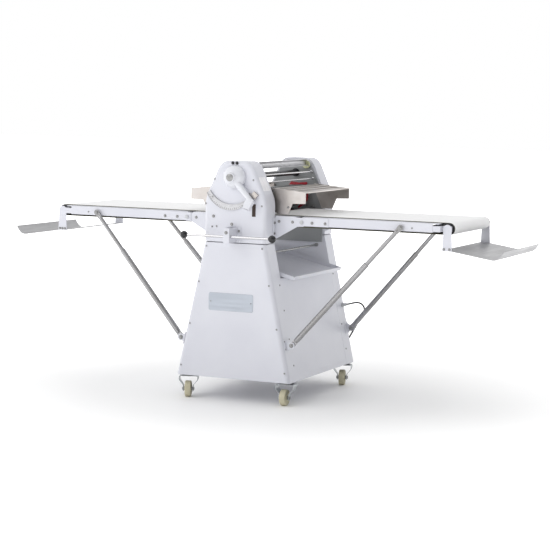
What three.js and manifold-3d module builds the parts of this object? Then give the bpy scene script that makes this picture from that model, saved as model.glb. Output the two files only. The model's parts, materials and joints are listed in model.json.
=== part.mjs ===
// Floor-standing reversible dough sheeter with two folding belt conveyors.
// Millimetres, +Z up. X runs along the conveyors, Y from the operator's side to the back.
// Machine coordinates have y = 0 at mid-depth; the whole group is then moved back by FRAME_SHIFT_Y,
// so that the origin lies on the floor under the middle of the machine's box.
import * as THREE from 'three';
import { mergeVertices } from 'three/addons/utils/BufferGeometryUtils.js';
import Module from 'manifold-3d';

const wasm = await Module();
wasm.setup();

// ---------------------------------------------------------------- driving dimensions
const FRAME_SHIFT_Y = 44; // centres the box between the reversing knobs and the rear face
const HALF_DEPTH = 405; // cabinets' outer faces
const BAY_HALF = 300; // inner faces of the cabinets, sides of the open bay
const SHEET = 3; // thickness of the cabinet and housing sheet
const GAP = 0.3; // gap between touching pieces

const BASE_BOTTOM_Z = 107;
const BASE_BOTTOM_HALF = 288.5;
const SEAM_Z = 733.6;
const BASE_TOP_HALF = 154.4;
const SKIRT_TOP_Z = 574; // top edge of the lower side panels

const HEAD_BOTTOM_Z = 737;
const HEAD_HALF = 155;
const HEAD_TOP_Z = 1108;
const PLATE_INSET = 12; // inner plates stand inside the housing outline
const PLATE_THICK = 10;
const PLATE_BOTTOM_Z = 700;

const CONVEYOR_Z = 837; // axis of drive rollers, end rollers and fold hinges
const HINGE_X = 291.5;
const END_ROLLER_X = 979;
const DRIVE_ROLLER_X = 80;
const BELT_ROLLER_R = 25;
const BELT_THICK = 2;
const BELT_HALF = 255;
const RAIL_FACE = 305; // outer faces of the conveyor rails
const RAIL_END_X = 917;

const ROLLER_R = 44;
const ROLLER_HALF = 262;
const LOWER_ROLLER_Z = 822;
const UPPER_ROLLER_Z = 914; // thinnest setting, 4 mm between the rollers
const ROLLER_LIFT = 34;
const LOWER_JOURNAL_R = 20;
const UPPER_JOURNAL_R = 17;

const SHAFT_Z = 1036; // thickness shaft and its handle
const SHAFT_R = 14;
const HANDLE_REST_ANGLE = -49; // lever, degrees from +X, seen from the front
const HANDLE_REACH = 136; // shaft to the knuckle of the lever
const GRIP_LENGTH = 46;
const GRIP_WAY = [-0.26, -0.42, -0.87]; // grip, from the knuckle to its free end
const SCALE_INNER = { centre: [-15, 1037], r: 125.5, from: -149, to: -40 };
const SCALE_OUTER = { centre: [-23.5, 1010.5], r: 127, from: -157, to: -40 };

const SCRAPER_PIVOT = [72, 944];
const GUARD_PIVOT = [112, 970];

const STAY_FOOT = [281, 365.1, 278.3];
const STAY_TOP = [770.6, 316.7, 836.2];
const STAY_STEP = 517; // length of the outer tube from the foot pivot
const STAY_ROD_START = 165;
const EAR_R = 16; // bracket ear round the foot pin, low enough for the raised stay to pass
const EAR_Z = [300, 250];

const TRAY_SLOPE = 13.2; // degrees, down towards +X
const TRAY_OUTER = [241, 566]; // lower outer corner
const TIE_ROD = [115, 685];
const LEDGE_X = 30; // middle of the ledges that the tray slides on

const BAR_Y = -475.5;
const BAR_Z = 767.5;
const BAR_HALF = 221;
const KNOB_R = 17.5;
const BRACKET_X = [-15.5, 14.5];
const BRACKET_Z = [739, 808];

const CASTER_X = 250;
const CASTER_Y = 345;
const WHEEL_R = 37.5;
const WHEEL_HALF_WIDTH = 14;
const WHEEL_TRAIL = 25;
const FORK_FOOT_HALF = 24; // half-widths of the fork at the axle and under its crown
const FORK_TOP_HALF = 45;
const PLATE_HALF_X = 34; // caster plates stay inside the side walls
// Degrees from +X; each wheel trails behind its swivel, towards the operator.
const CASTER_YAW = { front_right: 92, front_left: 110, rear_right: 105, rear_left: 98 };

const MOTOR_X = 40;
const MOTOR_Z = 190;
const CHAIN_Y = [346, 354];
const MOTOR_SPROCKET_R = 30;
const ROLLER_SPROCKET_R = 60;

const CABLE_R = 4;
const COIL_CENTRE = [-120, 530];
const COIL_TURN_R = 55.3; // centreline of the outermost turn
const COIL_R = [28.8, 59.5]; // inner and outer radius of the coil
const COIL_HEIGHT = 16.5;

// ---------------------------------------------------------------- materials
const finish = (color, roughness, metalness) =>
  new THREE.MeshStandardMaterial({ color, roughness, metalness });
const whitePaint = finish(0xe0e0e8, 0.45, 0.1);
const stainless = finish(0xb0aca8, 0.35, 0.9);
const chrome = finish(0xd8d8dc, 0.12, 1.0);
const greyPlate = finish(0x9a9c9c, 0.5, 0.4);
const darkSteel = finish(0x2c2c2e, 0.4, 0.8);
const beltWhite = finish(0xf2f0ec, 0.8, 0.0);
const aluminium = finish(0xbfbfc2, 0.4, 0.8);
const blackPlastic = finish(0x101012, 0.3, 0.0);
const redPaint = finish(0x9c1018, 0.4, 0.0);
const galvanised = finish(0xa8acb0, 0.45, 0.8);
const wheelNylon = finish(0xd8d0a8, 0.6, 0.0);
const motorGrey = finish(0x6c7478, 0.5, 0.5);

// ---------------------------------------------------------------- geometry helpers
const rad = THREE.MathUtils.degToRad;

function solid(geometry) {
  const bare = geometry.clone();
  bare.deleteAttribute('normal');
  bare.deleteAttribute('uv');
  const merged = mergeVertices(bare, 1e-4);
  return new wasm.Manifold(
    new wasm.Mesh({
      numProp: 3,
      vertProperties: new Float32Array(merged.attributes.position.array),
      triVerts: new Uint32Array(merged.index.array),
    }),
  );
}

function fromSolid(manifold) {
  const mesh = manifold.getMesh();
  const geometry = new THREE.BufferGeometry();
  geometry.setAttribute('position', new THREE.BufferAttribute(new Float32Array(mesh.vertProperties), 3));
  geometry.setIndex(new THREE.BufferAttribute(new Uint32Array(mesh.triVerts), 1));
  geometry.computeVertexNormals();
  return geometry;
}

const join = (...geometries) => fromSolid(geometries.map(solid).reduce((a, b) => a.add(b)));
const meet = (a, b) => fromSolid(solid(a).intersect(solid(b)));
const cut = (body, ...tools) => fromSolid(tools.map(solid).reduce((a, b) => a.subtract(b), solid(body)));

function block(x0, x1, y0, y1, z0, z1) {
  const geometry = new THREE.BoxGeometry(x1 - x0, y1 - y0, z1 - z0);
  return geometry.translate((x0 + x1) / 2, (y0 + y1) / 2, (z0 + z1) / 2);
}

// A round bar along Y, X or Z between two ends.
function barY(x, z, r, y0, y1, sides = 16) {
  return new THREE.CylinderGeometry(r, r, y1 - y0, sides).translate(x, (y0 + y1) / 2, z);
}
function barX(y, z, r, x0, x1, sides = 10) {
  const bar = new THREE.CylinderGeometry(r, r, x1 - x0, sides).rotateZ(Math.PI / 2);
  return bar.translate((x0 + x1) / 2, y, z);
}
function barZ(x, y, r, z0, z1, sides = 12) {
  const bar = new THREE.CylinderGeometry(r, r, z1 - z0, sides).rotateX(Math.PI / 2);
  return bar.translate(x, y, (z0 + z1) / 2);
}

// A shape drawn in XZ, made into a plate between y0 and y1.
function plateXZ(shape, y0, y1, curveSegments = 8) {
  const plate = new THREE.ExtrudeGeometry(shape, { depth: y1 - y0, bevelEnabled: false, curveSegments });
  return plate.rotateX(Math.PI / 2).translate(0, y1, 0);
}

function polygon(points) {
  return new THREE.Shape(points.map(([x, z]) => new THREE.Vector2(x, z)));
}

// A sheet that follows a polyline in XZ, offset to its left by the thickness.
function sheetShape(points, thickness) {
  const line = points.map(([x, z]) => new THREE.Vector2(x, z));
  const offset = line.map((point, i) => {
    const before = line[Math.max(i - 1, 0)];
    const after = line[Math.min(i + 1, line.length - 1)];
    const along = after.clone().sub(before).normalize();
    return point.clone().add(new THREE.Vector2(-along.y, along.x).multiplyScalar(thickness));
  });
  return new THREE.Shape([...line, ...offset.reverse()]);
}

// A pair of equal pieces at +y and -y.
const bothSides = (make) => [make(1), make(-1)];
const span = (side, inner, outer) => (side > 0 ? [inner, outer] : [-outer, -inner]);

// Points of an arc about a centre, angles in degrees.
function arcPoints(cx, cz, r, from, to, steps) {
  return Array.from({ length: steps + 1 }, (_, i) => {
    const angle = rad(from + ((to - from) * i) / steps);
    return [cx + r * Math.cos(angle), cz + r * Math.sin(angle)];
  });
}

// Turns a piece that is made for the +X end into its mirror image for the -X end.
function mirrorX(geometry) {
  const mirrored = (geometry.index ? geometry.toNonIndexed() : geometry.clone()).scale(-1, 1, 1);
  const position = mirrored.attributes.position;
  const swap = new THREE.Vector3();
  const other = new THREE.Vector3();
  for (let i = 0; i < position.count; i += 3) {
    swap.fromBufferAttribute(position, i);
    other.fromBufferAttribute(position, i + 1);
    position.setXYZ(i, other.x, other.y, other.z);
    position.setXYZ(i + 1, swap.x, swap.y, swap.z);
  }
  mirrored.computeVertexNormals();
  return mirrored;
}

// ---------------------------------------------------------------- the object
const machine = new THREE.Group();
machine.name = 'dough_sheeter';
machine.position.set(0, FRAME_SHIFT_Y, 0);

function add(name, geometry, material) {
  const mesh = new THREE.Mesh(geometry, material);
  mesh.name = name;
  machine.add(mesh);
  return mesh;
}

function addPair(name, geometry, material) {
  add(`${name}_right`, geometry, material);
  add(`${name}_left`, mirrorX(geometry), material);
}

const sideSlope = (BASE_BOTTOM_HALF - BASE_TOP_HALF) / (SEAM_Z - BASE_BOTTOM_Z);
const baseHalf = (z) => BASE_BOTTOM_HALF - (z - BASE_BOTTOM_Z) * sideSlope;

// ---------------------------------------------------------------- base
function taperShape(inset, z0, z1) {
  return polygon([
    [-baseHalf(z0) + inset, z0],
    [baseHalf(z0) - inset, z0],
    [baseHalf(z1) - inset, z1],
    [-baseHalf(z1) + inset, z1],
  ]);
}

function makeBaseFrame() {
  const skirt = [1, -1].map((side) => {
    const outer = [
      [side * (BASE_BOTTOM_HALF - GAP), BASE_BOTTOM_Z],
      [side * (baseHalf(SKIRT_TOP_Z) - GAP), SKIRT_TOP_Z],
      [side * (baseHalf(SKIRT_TOP_Z) - SHEET), SKIRT_TOP_Z],
      [side * (BASE_BOTTOM_HALF - SHEET), BASE_BOTTOM_Z],
    ];
    return plateXZ(polygon(side > 0 ? outer : outer.reverse()), -BAY_HALF + 0.4, BAY_HALF - 0.4);
  });
  const pan = block(-277, 277, -HALF_DEPTH + 4, HALF_DEPTH - 4, 109, 113);
  const panMiddle = block(-286, 286, -BAY_HALF + 1, BAY_HALF - 1, 109, 113);
  const curbs = bothSides((side) => block(-276, 276, ...span(side, 394, 401), 112, 140));
  const plates = [];
  for (const x of [-CASTER_X, CASTER_X]) {
    for (const y of [-CASTER_Y, CASTER_Y]) {
      plates.push(block(x - PLATE_HALF_X, x + PLATE_HALF_X, y - 44, y + 44, 104, 110));
    }
  }
  return join(pan, panMiddle, ...skirt, ...curbs, ...plates);
}

function stayBracket(side) {
  const [px, , pz] = STAY_FOOT;
  const ears = [1, -1].map((end) => {
    const outline = [
      [baseHalf(EAR_Z[0]) - 1.5, EAR_Z[0]],
      [baseHalf(EAR_Z[0]) + 4, EAR_Z[0]],
      ...arcPoints(px, pz, EAR_R, 120, -110, 9),
      [baseHalf(EAR_Z[1]) - 1.5, EAR_Z[1]],
    ];
    const ear = plateXZ(polygon(outline), ...span(side, 370, 374));
    const pinned = join(ear, barY(px, pz, 5, ...span(side, 360, 377), 8));
    return end > 0 ? pinned : mirrorX(pinned);
  });
  return ears;
}

function makeCabinet(side) {
  const shell = plateXZ(taperShape(0, BASE_BOTTOM_Z, SEAM_Z), ...span(side, BAY_HALF, HALF_DEPTH));
  const inside = span(side, BAY_HALF + SHEET, HALF_DEPTH - SHEET);
  const hollow = plateXZ(taperShape(SHEET, BASE_BOTTOM_Z - 5, SEAM_Z + 5), ...inside);
  const panSlot = block(-300, 300, ...span(side, BAY_HALF - 2, BAY_HALF + SHEET + 1), 100, 150);
  const ledgeZ = TRAY_OUTER[1] + (TRAY_OUTER[0] - LEDGE_X) * Math.tan(rad(TRAY_SLOPE));
  const ledge = block(-120, 120, ...span(side, 276, BAY_HALF + 1), -6.5, -3);
  ledge.rotateY(rad(TRAY_SLOPE)).translate(LEDGE_X, 0, ledgeZ);
  const tools = [hollow, panSlot];
  if (side > 0) tools.push(barY(MOTOR_X, MOTOR_Z, 14, 295, 310, 12));
  return join(cut(shell, ...tools), ledge, ...stayBracket(side));
}

add('base_frame', makeBaseFrame(), whitePaint);
add('front_cabinet', makeCabinet(-1), whitePaint);
add('rear_cabinet', makeCabinet(1), whitePaint);

function makeTieRod() {
  const [x, z] = TIE_ROD;
  const nuts = bothSides((side) => barY(x, z, 9, ...span(side, 289, 299.5), 6));
  return join(barY(x, z, 5, -299.5, 299.5, 12), ...nuts);
}
add('tie_rod', makeTieRod(), stainless);

// ---------------------------------------------------------------- head
// Half-round headstock outline, drawn from its lower left corner over the top.
function headShape(inset, bottom) {
  const w = HEAD_HALF - inset;
  const top = HEAD_TOP_Z - inset;
  const shape = new THREE.Shape();
  shape.moveTo(-w, bottom);
  shape.lineTo(w, bottom);
  shape.lineTo(w, 898);
  shape.quadraticCurveTo(w, 931, w - 15, 966);
  shape.lineTo(104 - inset, 1047 - inset / 2);
  shape.quadraticCurveTo(82 - inset, top, 46, top);
  shape.lineTo(-46, top);
  shape.quadraticCurveTo(-(82 - inset), top, -(104 - inset), 1047 - inset / 2);
  shape.lineTo(-(w - 15), 966);
  shape.quadraticCurveTo(-w, 931, -w, 898);
  return shape;
}

const BUTTON_X = [-13, 7.5];
const BUTTON_Z = 1100;
const BUTTON_R = 5;

function makeHousing(side) {
  const shell = plateXZ(headShape(0, HEAD_BOTTOM_Z), ...span(side, BAY_HALF + GAP, HALF_DEPTH), 4);
  const inside = span(side, BAY_HALF - 2, HALF_DEPTH - SHEET);
  const hollow = plateXZ(headShape(SHEET, HEAD_BOTTOM_Z - 5), ...inside, 4);
  if (side > 0) return cut(shell, hollow);
  const slot = block(87, 105, -410, -400, 859, 916);
  const shaftHole = barY(0, SHAFT_Z, SHAFT_R + 0.5, -410, -400);
  const buttonHoles = BUTTON_X.map((x) => barY(x, BUTTON_Z, BUTTON_R + GAP, -410, -400, 16));
  return cut(shell, hollow, slot, shaftHole, ...buttonHoles);
}

function makeInnerPlate(side) {
  const y = span(side, BAY_HALF - PLATE_THICK, BAY_HALF - GAP);
  const through = span(side, BAY_HALF - PLATE_THICK - 5, BAY_HALF + 5);
  const slotHalf = 27;
  return cut(
    plateXZ(headShape(PLATE_INSET, PLATE_BOTTOM_Z), ...y, 4),
    barY(0, LOWER_ROLLER_Z, LOWER_JOURNAL_R + 0.4, ...through),
    block(-slotHalf, slotHalf, ...through, UPPER_ROLLER_Z - 27, UPPER_ROLLER_Z + ROLLER_LIFT + 25),
    barY(0, SHAFT_Z, SHAFT_R + 0.4, ...through),
    ...[1, -1].flatMap((end) => [
      barY(end * DRIVE_ROLLER_X, CONVEYOR_Z, 8.6, ...through, 12),
      barY(end * GUARD_PIVOT[0], GUARD_PIVOT[1], 5.6, ...through, 8),
    ]),
  );
}

const TROUGH_CENTRE = [70, 1088];
const TROUGH_DISC = [76, 1073];

function makeTrough() {
  const arc = arcPoints(...TROUGH_CENTRE, 16.5, 85, 280, 10);
  const shell = plateXZ(sheetShape(arc, 2), -283, 283);
  const discs = bothSides((side) => barY(...TROUGH_DISC, 19, ...span(side, 281, 289.5)));
  return join(shell, ...discs);
}

add('front_head_housing', makeHousing(-1), whitePaint);
add('rear_head_housing', makeHousing(1), whitePaint);
add('front_inner_plate', makeInnerPlate(-1), greyPlate);
add('rear_inner_plate', makeInnerPlate(1), greyPlate);
add('top_trough', makeTrough(), stainless);

// ---------------------------------------------------------------- rollers and their carriage
function makeLowerRoller() {
  const sprocket = barY(0, LOWER_ROLLER_Z, ROLLER_SPROCKET_R, ...CHAIN_Y, 24);
  return join(
    barY(0, LOWER_ROLLER_Z, ROLLER_R, -ROLLER_HALF, ROLLER_HALF, 32),
    barY(0, LOWER_ROLLER_Z, LOWER_JOURNAL_R, -335, 356),
    sprocket,
  );
}

function makeUpperRoller() {
  return join(
    barY(0, UPPER_ROLLER_Z, ROLLER_R, -ROLLER_HALF, ROLLER_HALF, 32),
    barY(0, UPPER_ROLLER_Z, UPPER_JOURNAL_R, -334, 334),
  );
}

function makeCarriage() {
  const z = UPPER_ROLLER_Z;
  const ends = bothSides((side) => {
    const bearing = block(-35, 35, ...span(side, 301, 333), z - 36, z + 36);
    const neck = block(-22.5, 22.5, ...span(side, 272, 302), z - 22, z + 22);
    const arm = block(-82, 82, ...span(side, 272, 284), z + 14, z + 44);
    const stem = block(-22.5, 22.5, ...span(side, 272, 284), z - 22, z + 62);
    const bore = barY(0, z, UPPER_JOURNAL_R + 0.4, ...span(side, 265, 340));
    const pinHoles = [1, -1].map((end) =>
      barY(end * SCRAPER_PIVOT[0], SCRAPER_PIVOT[1], 4.6, ...span(side, 265, 290), 8));
    return cut(join(bearing, neck, arm, stem), bore, ...pinHoles);
  });
  const tieBar = block(-8, 8, -280, 280, z + 52, z + 62);
  return join(...ends, tieBar);
}

add('lower_roller', makeLowerRoller(), chrome);
add('upper_roller', makeUpperRoller(), chrome);
add('roller_carriage', makeCarriage(), greyPlate);

// ---------------------------------------------------------------- scrapers and the red lever
function makeScraper(withLever) {
  const [px, pz] = SCRAPER_PIVOT;
  const touch = rad(25);
  const reach = ROLLER_R + 0.6;
  const tip = [reach * Math.cos(touch), UPPER_ROLLER_Z + reach * Math.sin(touch)];
  const blade = plateXZ(sheetShape([[px + 4, pz + 2], [px - 6, pz - 1], tip], -2.5), -260, 260);
  const hub = barY(px, pz, 6, -268.5, 268.5, 8);
  const pins = bothSides((side) => barY(px, pz, 4, ...span(side, 267, 284), 8));
  const pieces = [blade, hub, ...pins];
  if (withLever) {
    const outline = [[60, 950], [80, 948], [77, 906], [62, 884], [30, 862], [24, 869], [50, 897], [50, 926]];
    pieces.push(plateXZ(polygon(outline), 263.5, 268.5));
  }
  return join(...pieces);
}

add('scraper_right', makeScraper(true), stainless);
add('scraper_left', mirrorX(makeScraper(false)), stainless);

const LEVER_PIVOT = [56, 984];
function makeScraperLever() {
  const lower = [[-34, 974], [-6, 974], [22, 978], [58, 977], [64, 984]];
  const upper = [[58, 991], [22, 987], [-22, 991], [-26, 987]];
  const blade = plateXZ(polygon([...lower, ...upper]), 285.2, 289.6);
  return join(blade, barY(...LEVER_PIVOT, 6, 284.6, 289.6, 12));
}
add('scraper_lever', makeScraperLever(), redPaint);

// ---------------------------------------------------------------- thickness handle
function makeCrossShaft() {
  const collars = bothSides((side) => barY(0, SHAFT_Z, 20, ...span(side, 283, 289.6)));
  const cams = bothSides((side) => barY(0, SHAFT_Z + 7, 21, ...span(side, 306, 330)));
  return join(barY(0, SHAFT_Z, SHAFT_R, -432, 336), ...collars, ...cams);
}

function makeHandle() {
  const profile = [[0, 0], [53.5, 0], [53.5, 15], [49, 27], [38, 39], [27, 46], [21, 48], [21, 60], [0, 60]];
  const dome = new THREE.LatheGeometry(profile.map(([r, h]) => new THREE.Vector2(r, h)), 24);
  dome.rotateX(Math.PI).translate(0, -406, SHAFT_Z);
  const lever = new THREE.CylinderGeometry(13, 15, HANDLE_REACH - 28, 12);
  lever.translate(0, HANDLE_REACH / 2 + 14, 0);
  lever.rotateX(Math.PI / 2).rotateY(rad(90 - HANDLE_REST_ANGLE)).translate(0, -432, SHAFT_Z);
  const turn = new THREE.Quaternion();
  turn.setFromUnitVectors(new THREE.Vector3(0, -1, 0), new THREE.Vector3(...GRIP_WAY).normalize());
  const grip = new THREE.BoxGeometry(32, GRIP_LENGTH + 4, 24).translate(0, 2 - GRIP_LENGTH / 2, 0);
  const angle = rad(HANDLE_REST_ANGLE);
  const knuckle = [HANDLE_REACH * Math.cos(angle), -432, SHAFT_Z + HANDLE_REACH * Math.sin(angle)];
  const arm = join(lever, grip.applyQuaternion(turn).translate(...knuckle));
  const bore = barY(0, SHAFT_Z, SHAFT_R + GAP, -432.5, -400);
  return cut(join(dome, arm), bore);
}

function makeScale() {
  const face = [-413, -HALF_DEPTH - GAP];
  const band = [
    ...arcPoints(...SCALE_OUTER.centre, SCALE_OUTER.r, SCALE_OUTER.from, SCALE_OUTER.to, 16),
    ...arcPoints(...SCALE_INNER.centre, SCALE_INNER.r, SCALE_INNER.to, SCALE_INNER.from, 16),
  ];
  const stop = new THREE.BoxGeometry(27, 13, 25).rotateY(rad(37)).translate(102, -412, 957);
  const foot = new THREE.BoxGeometry(44, 5, 16).rotateY(rad(20)).translate(88, -408, 952);
  return join(plateXZ(polygon(band), ...face), stop, foot);
}

add('cross_shaft', makeCrossShaft(), darkSteel);
add('thickness_handle', makeHandle(), whitePaint);
add('thickness_scale', makeScale(), stainless);

// ---------------------------------------------------------------- reversing bar and buttons
function makeBracket() {
  const [x0, x1] = BRACKET_X;
  const base = -HALF_DEPTH - GAP;
  const z = BRACKET_Z;
  const walls = join(
    block(x0, x1, -492, -489, ...z),
    block(x0, x0 + 3, -492, base, ...z),
    block(x1 - 3, x1, -492, base, ...z),
    block(x0 - 20, x0 + 3, base - 3, base, ...z),
    block(x1 - 3, x1 + 20, base - 3, base, ...z),
  );
  return cut(walls, barX(BAR_Y, BAR_Z, 6.5, x0 - 5, x1 + 5));
}

function makeReversingBar() {
  const rod = barX(BAR_Y, BAR_Z, 6, -BAR_HALF, BAR_HALF, 14);
  const knobs = [-BAR_HALF, BAR_HALF].map((x) =>
    new THREE.SphereGeometry(KNOB_R, 12, 8).translate(x, BAR_Y, BAR_Z));
  return join(rod, ...knobs);
}

function makeButton(x) {
  return barY(x, BUTTON_Z, BUTTON_R, -411, -402.5, 16);
}

add('reversing_bracket', makeBracket(), whitePaint);
add('reversing_bar', makeReversingBar(), stainless);
add('stop_button', makeButton(BUTTON_X[0]), blackPlastic);
add('start_button', makeButton(BUTTON_X[1]), blackPlastic);

// ---------------------------------------------------------------- hand guards
function makeGuard() {
  const leg = [[108, 987], [106, 964], [122, 930], [150, 867], [206, 867], [228, 917]];
  const outline = [...leg, [292, 919], [292, 971]];
  const cheeks = bothSides((side) => plateXZ(polygon(outline), ...span(side, 266, 269)));
  const pins = bothSides((side) => barY(...GUARD_PIVOT, 5, ...span(side, 268, 297), 8));
  const apron = block(289, 292, -268, 268, 919, 971);
  const slope = (971 - 987) / (292 - 108);
  const bars = [124, 168, 212, 256].map((x) => {
    const top = 987 + slope * (x - 108);
    return plateXZ(sheetShape([[x, top - 3.5], [x + 15, top - 3.5 + slope * 15]], 3), -268, 268);
  });
  const lip = plateXZ(sheetShape([[276, 969], [291, 967.8]], 3), -268, 268);
  return join(...cheeks, ...pins, apron, ...bars, lip);
}
addPair('guard', makeGuard(), stainless);

// ---------------------------------------------------------------- crumb tray
function makeCrumbTray() {
  const profile = [[-384, 22], [-380, 0], [0, 0], [12, 22]];
  const floor = plateXZ(sheetShape(profile, 2), -287, 287);
  const wall = polygon([[-383, 0], [0, 0], [11, 20], [-383, 20]]);
  const walls = bothSides((side) => plateXZ(wall, ...span(side, 285, 287)));
  const tray = join(floor, ...walls).rotateY(rad(TRAY_SLOPE));
  return tray.translate(TRAY_OUTER[0], 0, TRAY_OUTER[1]);
}
add('crumb_tray', makeCrumbTray(), whitePaint);

// ---------------------------------------------------------------- fixed inner ends of the conveyors
const GUSSET = [RAIL_FACE - SHEET, RAIL_FACE];
const PIVOT_R = 6;
const EYE_R = 20.6;

function makeInnerTable() {
  const outline = [
    [158, 753],
    [267, 815],
    ...arcPoints(HINGE_X, CONVEYOR_Z, EYE_R, -100, 90, 8),
    [158, CONVEYOR_Z + EYE_R],
  ];
  const gussets = bothSides((side) => plateXZ(polygon(outline), ...span(side, ...GUSSET)));
  const flanges = bothSides((side) => block(155.5, 159, ...span(side, 302, 326), 760, 852));
  const bed = block(160, 262, -304.5, 304.5, 857, 861);
  const bedInner = block(112, 165, -288, 288, 857, 861);
  const pins = bothSides((side) => barY(HINGE_X, CONVEYOR_Z, PIVOT_R, ...span(side, 303, 312), 8));
  const caps = bothSides((side) => barY(HINGE_X, CONVEYOR_Z, 9, ...span(side, 309, 312), 12));
  return join(...gussets, ...flanges, bed, bedInner, ...pins, ...caps);
}
addPair('inner_table', makeInnerTable(), whitePaint);

// ---------------------------------------------------------------- folding conveyors
function makeTableFrame() {
  const pieces = [];
  for (const side of [1, -1]) {
    const web = span(side, RAIL_FACE - SHEET, RAIL_FACE + 0.6);
    const flange = span(side, 288, RAIL_FACE);
    pieces.push(block(HINGE_X + 24, RAIL_END_X, ...web, 821, 860));
    pieces.push(block(HINGE_X + 30, RAIL_END_X, ...flange, 821, 824));
    pieces.push(block(272, 422, ...span(side, RAIL_FACE + 0.4, RAIL_FACE + 3.4), 820, 858));
    pieces.push(block(902, 952, ...span(side, 268, 304), 824, 850));
    pieces.push(block(902, 996, ...span(side, 268, 274), 824, 850));
  }
  const bed = block(HINGE_X + 0.5, 945, -301.5, 301.5, 857.6, 861);
  const bedEdge = block(HINGE_X + 26, 900, -303, 303, 857.6, 861);
  const cross = [400, 640, 880].map((x) => block(x, x + 30, -303, 303, 828, 846));
  const holes = bothSides((side) => barY(HINGE_X, CONVEYOR_Z, PIVOT_R + 0.8, ...span(side, 305, 310), 8));
  const bearings = bothSides((side) => barY(END_ROLLER_X, CONVEYOR_Z, 8.6, ...span(side, 265, 276), 12));
  return cut(join(...pieces, bed, bedEdge, ...cross), ...holes, ...bearings);
}

function makeBelt() {
  const inner = BELT_ROLLER_R + GAP;
  const outer = inner + BELT_THICK;
  const outline = [
    [HINGE_X + 0.5, CONVEYOR_Z - outer],
    ...arcPoints(END_ROLLER_X, CONVEYOR_Z, outer, -90, 90, 14),
    [HINGE_X + 0.5, CONVEYOR_Z + outer],
    [HINGE_X + 0.5, CONVEYOR_Z + inner],
    ...arcPoints(END_ROLLER_X, CONVEYOR_Z, inner, 90, -90, 14),
    [HINGE_X + 0.5, CONVEYOR_Z - inner],
  ];
  return plateXZ(polygon(outline), -BELT_HALF, BELT_HALF);
}

function makeBeltRoller(x, shaftHalf) {
  return join(
    barY(x, CONVEYOR_Z, BELT_ROLLER_R, -258, 258, 20),
    barY(x, CONVEYOR_Z, 8, -shaftHalf, shaftHalf, 12),
  );
}

function makeCatchTray() {
  const boss = arcPoints(END_ROLLER_X, CONVEYOR_Z, 20, -20, 200, 8);
  const armOutline = [[957, 739], [1002, 739], [998, 825], ...boss, [960, 825]];
  const arms = bothSides((side) => {
    const arm = plateXZ(polygon(armOutline), ...span(side, 279, 284));
    return cut(arm, barY(END_ROLLER_X, CONVEYOR_Z, 8.7, ...span(side, 276, 282), 12));
  });
  const lip = [[1200, 710.5], [1214, 716], [1226, 727], [1240, 749]];
  const floorLine = [[957, 742], [1005, 738], [1184, 710], ...lip];
  const floor = plateXZ(sheetShape(floorLine, 3), -283.5, 283.5);
  return join(...arms, floor);
}

addPair('table_frame', makeTableFrame(), whitePaint);
addPair('belt', makeBelt(), beltWhite);
addPair('end_roller', makeBeltRoller(END_ROLLER_X, 281), chrome);
addPair('drive_roller', makeBeltRoller(DRIVE_ROLLER_X, 298), darkSteel);
addPair('catch_tray', makeCatchTray(), aluminium);

// ---------------------------------------------------------------- telescopic stays
// Made along local +Z from the foot pivot, then laid along the line from foot to top.
function placeStay(geometry, sx, sy) {
  const foot = new THREE.Vector3(sx * STAY_FOOT[0], sy * STAY_FOOT[1], STAY_FOOT[2]);
  const top = new THREE.Vector3(sx * STAY_TOP[0], sy * STAY_TOP[1], STAY_TOP[2]);
  const along = top.clone().sub(foot).normalize();
  const across = new THREE.Vector3(0, 1, 0).addScaledVector(along, -along.y).normalize();
  const third = across.clone().cross(along);
  const basis = new THREE.Matrix4().makeBasis(third, across, along).setPosition(foot);
  return geometry.applyMatrix4(basis);
}

const stayLength = Math.hypot(...STAY_TOP.map((value, i) => value - STAY_FOOT[i]));

function makeStayTube() {
  const tube = cut(barZ(0, 0, 12.5, 20, STAY_STEP), barZ(0, 0, 10.2, 150, STAY_STEP + 5));
  const tab = join(block(-11, 11, -3, 3, 0, 40), barY(0, 0, 13, -3, 3, 12));
  return cut(join(tube, tab), barY(0, 0, 6.2, -6, 6, 8));
}

function makeStayRod(outward) {
  const rod = barZ(0, 0, 9.6, STAY_ROD_START, stayLength - 16);
  const strap = block(-9, 9, -3, 3, stayLength - 30, stayLength);
  const tab = join(strap, barY(0, stayLength, 13, -3, 3, 12));
  const bolt = barY(0, stayLength, 10, ...span(outward, 3, 9), 6);
  return join(rod, tab, bolt);
}

const CORNERS = { front_right: [1, -1], front_left: [-1, -1], rear_right: [1, 1], rear_left: [-1, 1] };
for (const [corner, [sx, sy]] of Object.entries(CORNERS)) {
  add(`stay_tube_${corner}`, placeStay(makeStayTube(), sx, sy), stainless);
  add(`stay_rod_${corner}`, placeStay(makeStayRod(sy), sx, sy), stainless);
}

// ---------------------------------------------------------------- casters
function makeCasterFork() {
  const foot = [[-WHEEL_TRAIL - 16, 45], [-WHEEL_TRAIL - 10, 30], [-WHEEL_TRAIL + 10, 30]];
  const profile = polygon([...foot, [24, 98], [-28, 98]]);
  const [low, high] = [FORK_FOOT_HALF, FORK_TOP_HALF];
  const flare = [[low, 26], [low, 52], [high, 86], [high, 94], [high - 4, 98]];
  const mirrored = (points) => points.map(([y, z]) => [-y, z]).reverse();
  const lining = [[high - 4, 94], [high - 4, 87], [low - SHEET, 53], [low - SHEET, 26]];
  const arch = plateXZ(polygon([...flare, ...mirrored(flare), ...mirrored(lining), ...lining]), -40, 60);
  const pressing = meet(arch.rotateZ(Math.PI / 2), plateXZ(profile, -60, 60));
  const swivel = barZ(0, 0, 27, 96, 103.6, 16);
  const axle = barY(-WHEEL_TRAIL, WHEEL_R, 5, -low - 5, low + 5, 8);
  return join(pressing, swivel, axle);
}

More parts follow.
